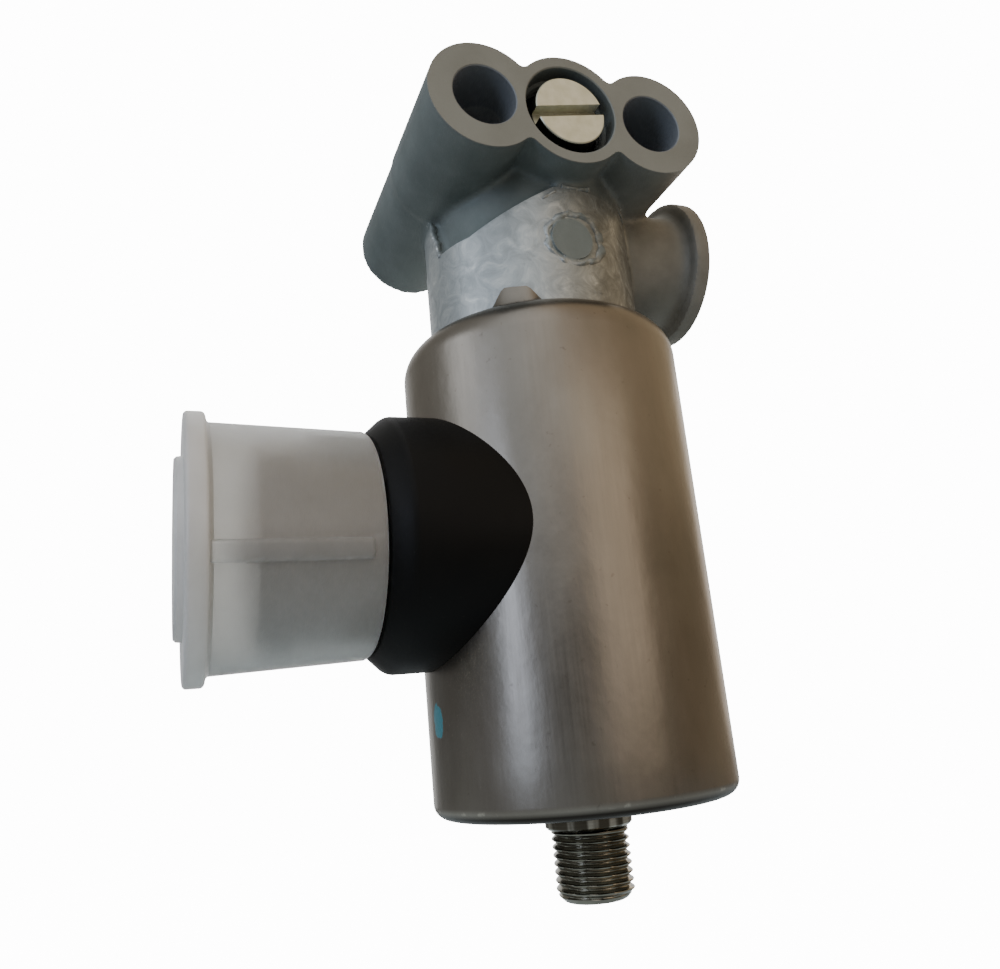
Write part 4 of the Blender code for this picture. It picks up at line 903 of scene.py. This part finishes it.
# %% Plug
head_depth = 3.6 * mm
ring_groove = plug_face + 7.0 * mm
groove_width = 1.6 * mm
groove_radius = plug_radius - 1.3 * mm
plug_outline = [
    (0, plug_face),
    (plug_face_radius - 0.12 * mm, plug_face),
    (plug_face_radius, plug_face + 0.12 * mm),
    (plug_face_radius, plug_face + head_depth),
    (plug_radius, plug_face + head_depth + 0.6 * mm),
    (plug_radius, ring_groove),
    (groove_radius, ring_groove),
    (groove_radius, ring_groove + groove_width),
    (plug_radius, ring_groove + groove_width),
    (plug_radius, plug_high.y - 0.8 * mm),
    (plug_radius - 0.8 * mm, plug_high.y),
    (0, plug_high.y),
]
plug = turn("plug", plug_outline, "Y")
slot_width = 1.7 * mm
slot_depth = 1.8 * mm
slot_turn = math.radians(12)
carve(plug, block((20 * mm, 2 * slot_depth, slot_width), (0, plug_face, 0), (0, -slot_turn, 0)))
bevel = {"width": 0.08 * mm, "segments": 2, "limit_method": "ANGLE", "angle_limit": math.radians(50)}
apply_modifier(plug, "BEVEL", **bevel)
finished(plug, "root", ["plug_screw"], nickel)

# %% [markdown]
# ## Moulded collar
#
# The collar between can and connector is black glass-filled nylon with a saddle that fits the
# can. Its front edge is chamfered in two steps. A matt moulded skin is nearly black, with a
# faint sheen on its edges.

# %% Collar finish
nylon, nylon_shader, nylon_place = start_finish("black_nylon", "#0a0908", 0.5)
nylon_shader.inputs["Specular IOR Level"].default_value = 0.15
nylon_cloud = add(nylon, "TexNoise", {"Vector": nylon_place, "Scale": 1 / (6 * mm), "Detail": 3.0})
nylon_tone = add(nylon, "ValToRGB", {"Fac": nylon_cloud}, ((0.3, "#080707"), (0.7, "#0d0c0b")))
nylon_rough = add(nylon, "MapRange", (nylon_cloud, 0.3, 0.7, 0.42, 0.56))
nylon_skin = add(nylon, "TexNoise", {"Vector": nylon_place, "Scale": 1 / (0.3 * mm), "Detail": 2.0})
nylon_relief = add(nylon, "Bump", {"Height": nylon_skin, "Distance": 0.012 * mm, "Strength": 0.5})
plug_in(nylon, nylon_shader, Base_Color=nylon_tone, Roughness=nylon_rough, Normal=nylon_relief)

# %% Collar
collar_radius = (collar_high.z - collar_low.z) / 2
collar_face = -collar_low.x
collar_root = 8 * mm
collar_bore = 12.7 * mm
collar_chamfer = 2.4 * mm
collar_outline = [
    (collar_bore, collar_root),
    (collar_radius, collar_root),
    (collar_radius, collar_face - 1.25 * collar_chamfer),
    (collar_radius - 0.12 * mm, collar_face - 1.05 * collar_chamfer),
    (collar_radius - 0.4 * mm, collar_face - 0.85 * collar_chamfer),
    (collar_radius - collar_chamfer + 0.2 * mm, collar_face - 0.15 * mm),
    (collar_radius - collar_chamfer - 0.1 * mm, collar_face),
    (collar_bore, collar_face),
    (collar_bore, collar_root),
]
collar = turn("collar", collar_outline, "-X", connector_centre)
saddle_foot = Vector((0, axis_y, can_foot))
carve(collar, rod(can_radius + 0.04 * mm, saddle_foot, saddle_foot + Vector((0, 0, 80 * mm)), 192))
finished(collar, "root", ["connector_collar"], nylon)

# %% [markdown]
# ## Connector
#
# Under the cap sits the bayonet socket: a black tube with a floor, two contact pins and three
# lugs that the cable plug locks onto. It only shows as a shadow through the cap, and openly when
# the cap is pulled.

# %% Connector
bayonet_radius = 12.4 * mm
socket_radius = 10.3 * mm
stem_radius = 9.5 * mm
stem_shoulder = can_radius + 0.5 * mm
stem_end = 16.0 * mm
bayonet_front = 42.5 * mm
socket_floor = 28.5 * mm
edge = 0.3 * mm
connector_outline = [
    (0, socket_floor),
    (socket_radius, socket_floor),
    (socket_radius, bayonet_front - edge),
    (socket_radius + edge, bayonet_front),
    (bayonet_radius - edge, bayonet_front),
    (bayonet_radius, bayonet_front - edge),
    (bayonet_radius, stem_shoulder),
    (stem_radius, stem_shoulder),
    (stem_radius, stem_end),
    (0, stem_end),
]
connector = turn("connector", connector_outline, "-X", connector_centre)
print("connector has", len(connector.data.polygons), "faces as turned")

# %% Lugs and pin holes
lug_count = 3
lug_rise = 0.8 * mm
lug_length = 3 * mm
lug_width = 5 * mm
for number in range(lug_count):
    angle = full_turn * number / lug_count + half_turn / 6
    outward = Vector((0, math.cos(angle), math.sin(angle))) * bayonet_radius
    centre = connector_centre + outward + Vector((lug_length - bayonet_front, 0, 0))
    lug = block((lug_length, 2 * lug_rise, lug_width), centre, (angle, 0, 0), 0.3 * mm)
    carve(connector, lug, "UNION")
pin_hole = 1.55 * mm
for side in (-1, 1):
    pin_place = connector_centre + Vector((0, side * 4.5 * mm, 0))
    hole_start = pin_place - Vector((30 * mm, 0, 0))
    carve(connector, rod(pin_hole, hole_start, pin_place - Vector((14 * mm, 0, 0)), 48))
finished(connector, "root", ["connector_body"], nylon)

# %% [markdown]
# ## Milky polythene cap
#
# The dust cap is thin low-density polythene. It scatters light, so it looks milky, and what lies
# behind it shows only as a soft darker tone. Part of the light passes through the shader as
# rough transmission, less of it at the thick flange, and the rest is diffuse.

# %% Cap finish
polythene, polythene_shader, polythene_place = start_finish("milky_polythene", "#e9e8e4", 0.42)
polythene_shader.inputs["IOR"].default_value = 1.51
cap_cloud = add(polythene, "TexNoise", {"Vector": polythene_place, "Scale": 1 / (5 * mm), "Detail": 3.0})
cap_tone = add(polythene, "ValToRGB", {"Fac": cap_cloud}, ((0.3, "#f1f1ee"), (0.7, "#f9f9f7")))
cap_rough = add(polythene, "MapRange", (cap_cloud, 0.3, 0.7, 0.29, 0.34))
cap_skin = add(polythene, "TexNoise", {"Vector": polythene_place, "Scale": 1 / (3 * mm)})
cap_relief = add(polythene, "Bump", {"Height": cap_skin, "Distance": 0.03 * mm, "Strength": 0.3})
cap_low, cap_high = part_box("dust_cap")
cap_end = -cap_low.x - 1.0 * mm
cap_root = cap_end - 2.5 * mm
cap_mouth = -cap_high.x
cap_x = add(polythene, "SeparateXYZ", {"Vector": polythene_place}).outputs["X"]
thick_end = add(polythene, "MapRange", (cap_x, -cap_root - 0.3 * mm, -cap_root + 0.5 * mm, 0.3, 0.78))
plug_in(polythene, polythene_shader, Base_Color=cap_tone, Roughness=cap_rough, Normal=cap_relief)
plug_in(polythene, polythene_shader, Transmission_Weight=thick_end)

# %% Cap
cap_pad_face = -cap_low.x
cap_flange_radius = (cap_high.z - cap_low.z) / 2
cap_mouth_radius = 14.8 * mm
cap_root_radius = 15.45 * mm
cap_pad_radius = 11.2 * mm
cap_wall = 1.2 * mm
cap_inner_end = cap_end - cap_wall - 0.3 * mm
soft_edge = 0.5 * mm
cap_outline = [
    (0, cap_pad_face),
    (cap_pad_radius - edge, cap_pad_face),
    (cap_pad_radius, cap_pad_face - edge),
    (cap_pad_radius + 0.1 * mm, cap_end),
]
cap_outline += arc(cap_flange_radius - soft_edge, cap_end - soft_edge, soft_edge, 90, 0, 4)
cap_outline += arc(cap_flange_radius - soft_edge, cap_root + soft_edge, soft_edge, 0, -90, 4)
cap_outline += [
    (cap_root_radius + 0.4 * mm, cap_root),
    (cap_root_radius, cap_root - 0.4 * mm),
    (cap_mouth_radius, cap_mouth + soft_edge),
    (cap_mouth_radius - edge, cap_mouth),
    (cap_mouth_radius - cap_wall + 0.2 * mm, cap_mouth),
    (cap_mouth_radius - cap_wall, cap_mouth + edge),
    (cap_root_radius - cap_wall, cap_inner_end - 2 * edge),
    (cap_root_radius - cap_wall - 2 * edge, cap_inner_end),
    (0, cap_inner_end),
]
cap = turn("cap", cap_outline, "-X", connector_centre, steps=160)
print("cap has", len(cap.data.polygons), "faces as moulded")

# %% Cap rib
rib_length = cap_root - cap_mouth - 1.5 * mm
rib_lean = math.atan2(cap_root_radius - cap_mouth_radius, cap_root - cap_mouth)
rib_down = math.radians(13)
rib = block((rib_length, 1.4 * mm, 2.5 * mm), (0, 0, 0), edge=0.5 * mm)
rib_depth = (cap_root_radius + cap_mouth_radius) / 2 + 0.05 * mm
rib_middle = connector_centre + Vector((-cap_root + rib_length / 2 - 0.2 * mm, 0, 0))
rib.matrix_world = (
    Matrix.Translation(rib_middle)
    @ Matrix.Rotation(rib_down, 4, "X")
    @ Matrix.Translation((0, -rib_depth, 0))
    @ Matrix.Rotation(rib_lean, 4, "Z")
)
apply_place(rib)
carve(cap, rib, "UNION")
finished(cap, "dust_cap", ["dust_cap"], polythene)

# %% [markdown]
# ## Inner pieces
#
# The coil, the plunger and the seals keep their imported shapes, because no view reaches them. They
# still get the finish of what they are, so that the valve can be taken apart in the viewer.

# %% Inner finishes
moulded = []
for name, tone, roughness in (("nitrile_rubber", "#161616", 0.7), ("natural_nylon", "#b9ad8e", 0.5)):
    finish, shader, place = start_finish(name, tone, roughness)
    skin = add(finish, "TexNoise", {"Vector": place, "Scale": 1 / (0.3 * mm)})
    relief = add(finish, "Bump", {"Height": skin, "Distance": 0.01 * mm, "Strength": 0.5})
    plug_in(finish, shader, Normal=relief)
    moulded.append(finish)
rubber, natural = moulded

brass, brass_shader, brass_place = start_finish("brass", "#b5944f", 0.28, 1.0)
tarnish = add(brass, "TexNoise", {"Vector": brass_place, "Scale": 1 / (2 * mm)})
brass_tone = add(brass, "ValToRGB", {"Fac": tarnish}, ((0.3, "#a58441"), (0.7, "#c3a463")))
plug_in(brass, brass_shader, Base_Color=brass_tone)

copper, copper_shader, copper_place = start_finish("enamelled_copper", "#a2532a", 0.3, 1.0)
wire_place = add(copper, "Mapping", {"Vector": copper_place, "Scale": (0.02, 0.02, 1)})
wires = add(copper, "TexNoise", {"Vector": wire_place, "Scale": 1 / (0.3 * mm)})
wire_relief = add(copper, "Bump", {"Height": wires, "Distance": 0.05 * mm, "Strength": 0.7})
plug_in(copper, copper_shader, Normal=wire_relief)

inner_finish = {
    "seals": rubber,
    "brass": brass,
    "contacts": brass,
    "winding": copper,
    "bobbin": natural,
    "connector": nylon,
    "core": stud_steel,
    "tube": stud_steel,
    "plates": stud_steel,
    "spring": stud_steel,
}
slots = {row["node"]: row["material_slot"] for row in frame["record"]["subparts"]}
for name, node in frame["nodes"].items():
    finish = inner_finish.get(slots[name])
    if finish and not node.hide_render:
        node.data.materials.clear()
        node.data.materials.append(finish)

# %% [markdown]
# ## Floor and light
#
# The valve was pictured cut out on plain white, in a dim room. So the floor and the background
# look white to the camera, while the room that the metal mirrors is darker, brightest overhead.
# A drawn can shows its surroundings as upright bands, so the lamps matter as much as its finish:
# a narrow cool window at the left, a broad warm wall at the right, and darkness between them.

# %% Floor
deselect()
floor_drop = 14 * mm
bpy.ops.mesh.primitive_plane_add(size=0.36, location=(0, 0, stud_end - floor_drop))
floor = bpy.context.object
floor.name = "floor"
paper, paper_shader, paper_place = start_finish("paper", "#6e6d6b", 0.9)
seen = add(paper, "LightPath")
off_middle = add(paper, "VectorMath", (paper_place,), operation="LENGTH")
pool = add(paper, "MapRange", (off_middle, 0.05, 0.16, 0.6, 0.0))
glow = add(paper, "Mix", (seen.outputs["Is Camera Ray"], pool, 14.0))
pool_tone = add(paper, "Mix", (seen.outputs["Is Camera Ray"], "#cfdfe6", "#ffffff"), data_type="RGBA")
plug_in(paper, paper_shader, Emission_Color=pool_tone, Emission_Strength=glow)
floor.data.materials.append(paper)
print("floor lies", round(floor_drop / mm), "mm under the stud")

# %% Room
target = Vector((0, axis_y, can_foot + 45 * mm))
to_camera = camera_place - target
to_camera.z = 0
to_camera.normalize()
to_right = Vector((-to_camera.y, to_camera.x, 0))

world = bpy.data.worlds.new("room")
world.use_nodes = True
bpy.context.scene.world = world
sky = world.node_tree.nodes["Background"]
room_place = add(world, "TexCoord").outputs["Generated"]
ahead = add(world, "VectorMath", (room_place, to_camera), operation="DOT_PRODUCT")
aside = add(world, "VectorMath", (room_place, to_right), operation="DOT_PRODUCT")
azimuth = add(world, "Math", (aside, ahead), operation="ARCTAN2")
round_room = add(world, "MapRange", (azimuth, -half_turn, half_turn, 0.0, 1.0))
low_stops = (
    (0.0, "#eceded"), (0.07, "#eceded"), (0.12, "#6a6c6d"), (0.22, "#646464"), (0.34, "#75767a"),
    (0.47, "#43464b"), (0.58, "#6c6660"), (0.75, "#837562"), (0.9, "#837562"), (0.95, "#eceded"),
)
high_stops = (
    (0.0, "#eceded"), (0.07, "#eceded"), (0.13, "#807e79"), (0.33, "#8f8f8e"), (0.45, "#dfe5ec"),
    (0.51, "#efeeee"), (0.6, "#bdb0a0"), (0.68, "#b09e86"), (0.88, "#b29f82"), (0.95, "#eceded"),
)
low_room = add(world, "ValToRGB", {"Fac": round_room}, low_stops)
high_room = add(world, "ValToRGB", {"Fac": round_room}, high_stops)
room_z = add(world, "SeparateXYZ", {"Vector": room_place}).outputs["Z"]
wall_range = (room_z, math.sin(math.radians(6)), math.sin(math.radians(17)), 0.0, 1.0)
up_wall = add(world, "MapRange", wall_range)
room_tone = add(world, "Mix", (up_wall, low_room, high_room), data_type="RGBA")
direct = add(world, "LightPath")
room_view = add(world, "Mix", (direct.outputs["Is Camera Ray"], room_tone, "#ffffff"), data_type="RGBA")
room_power = add(world, "MapRange", (direct.outputs["Is Camera Ray"], 0.0, 1.0, 1.5, 14.0))
plug_in(world, sky, Color=room_view, Strength=room_power)
print("room has", len(world.node_tree.nodes), "nodes")


# %% Lamps
def lamp(name, azimuth, height, distance, size, power, tint):
    """A soft lamp aimed at the can. Azimuth 0 is at the camera, and positive is to its right."""
    angle = math.radians(azimuth)
    place = target + (to_camera * math.cos(angle) + to_right * math.sin(angle)) * distance
    place.z += height
    data = bpy.data.lights.new(name, "AREA")
    data.shape = "RECTANGLE"
    data.size, data.size_y = size
    data.energy = power
    data.color = colour(tint)[:3]
    made = bpy.data.objects.new(name, data)
    made.location = place
    made.rotation_euler = (target - place).to_track_quat("-Z", "Y").to_euler()
    bpy.context.scene.collection.objects.link(made)


lamps = (
    ("window", -40, 0.055, 0.6, (0.16, 0.23), 0.52, "#d3e2ff"),
    ("window_glow", -62, 0.16, 0.35, (0.15, 0.18), 0.17, "#e2e9f5"),
    ("warm_wall", 43, 0.06, 0.6, (0.44, 0.25), 0.36, "#ffeedd"),
    ("right_edge", 148, 0.08, 0.6, (0.15, 0.3), 0.15, "#ffeedd"),
)
for row in lamps:
    lamp(*row)
print("lamps:", len(lamps))

# %% [markdown]
# ## End
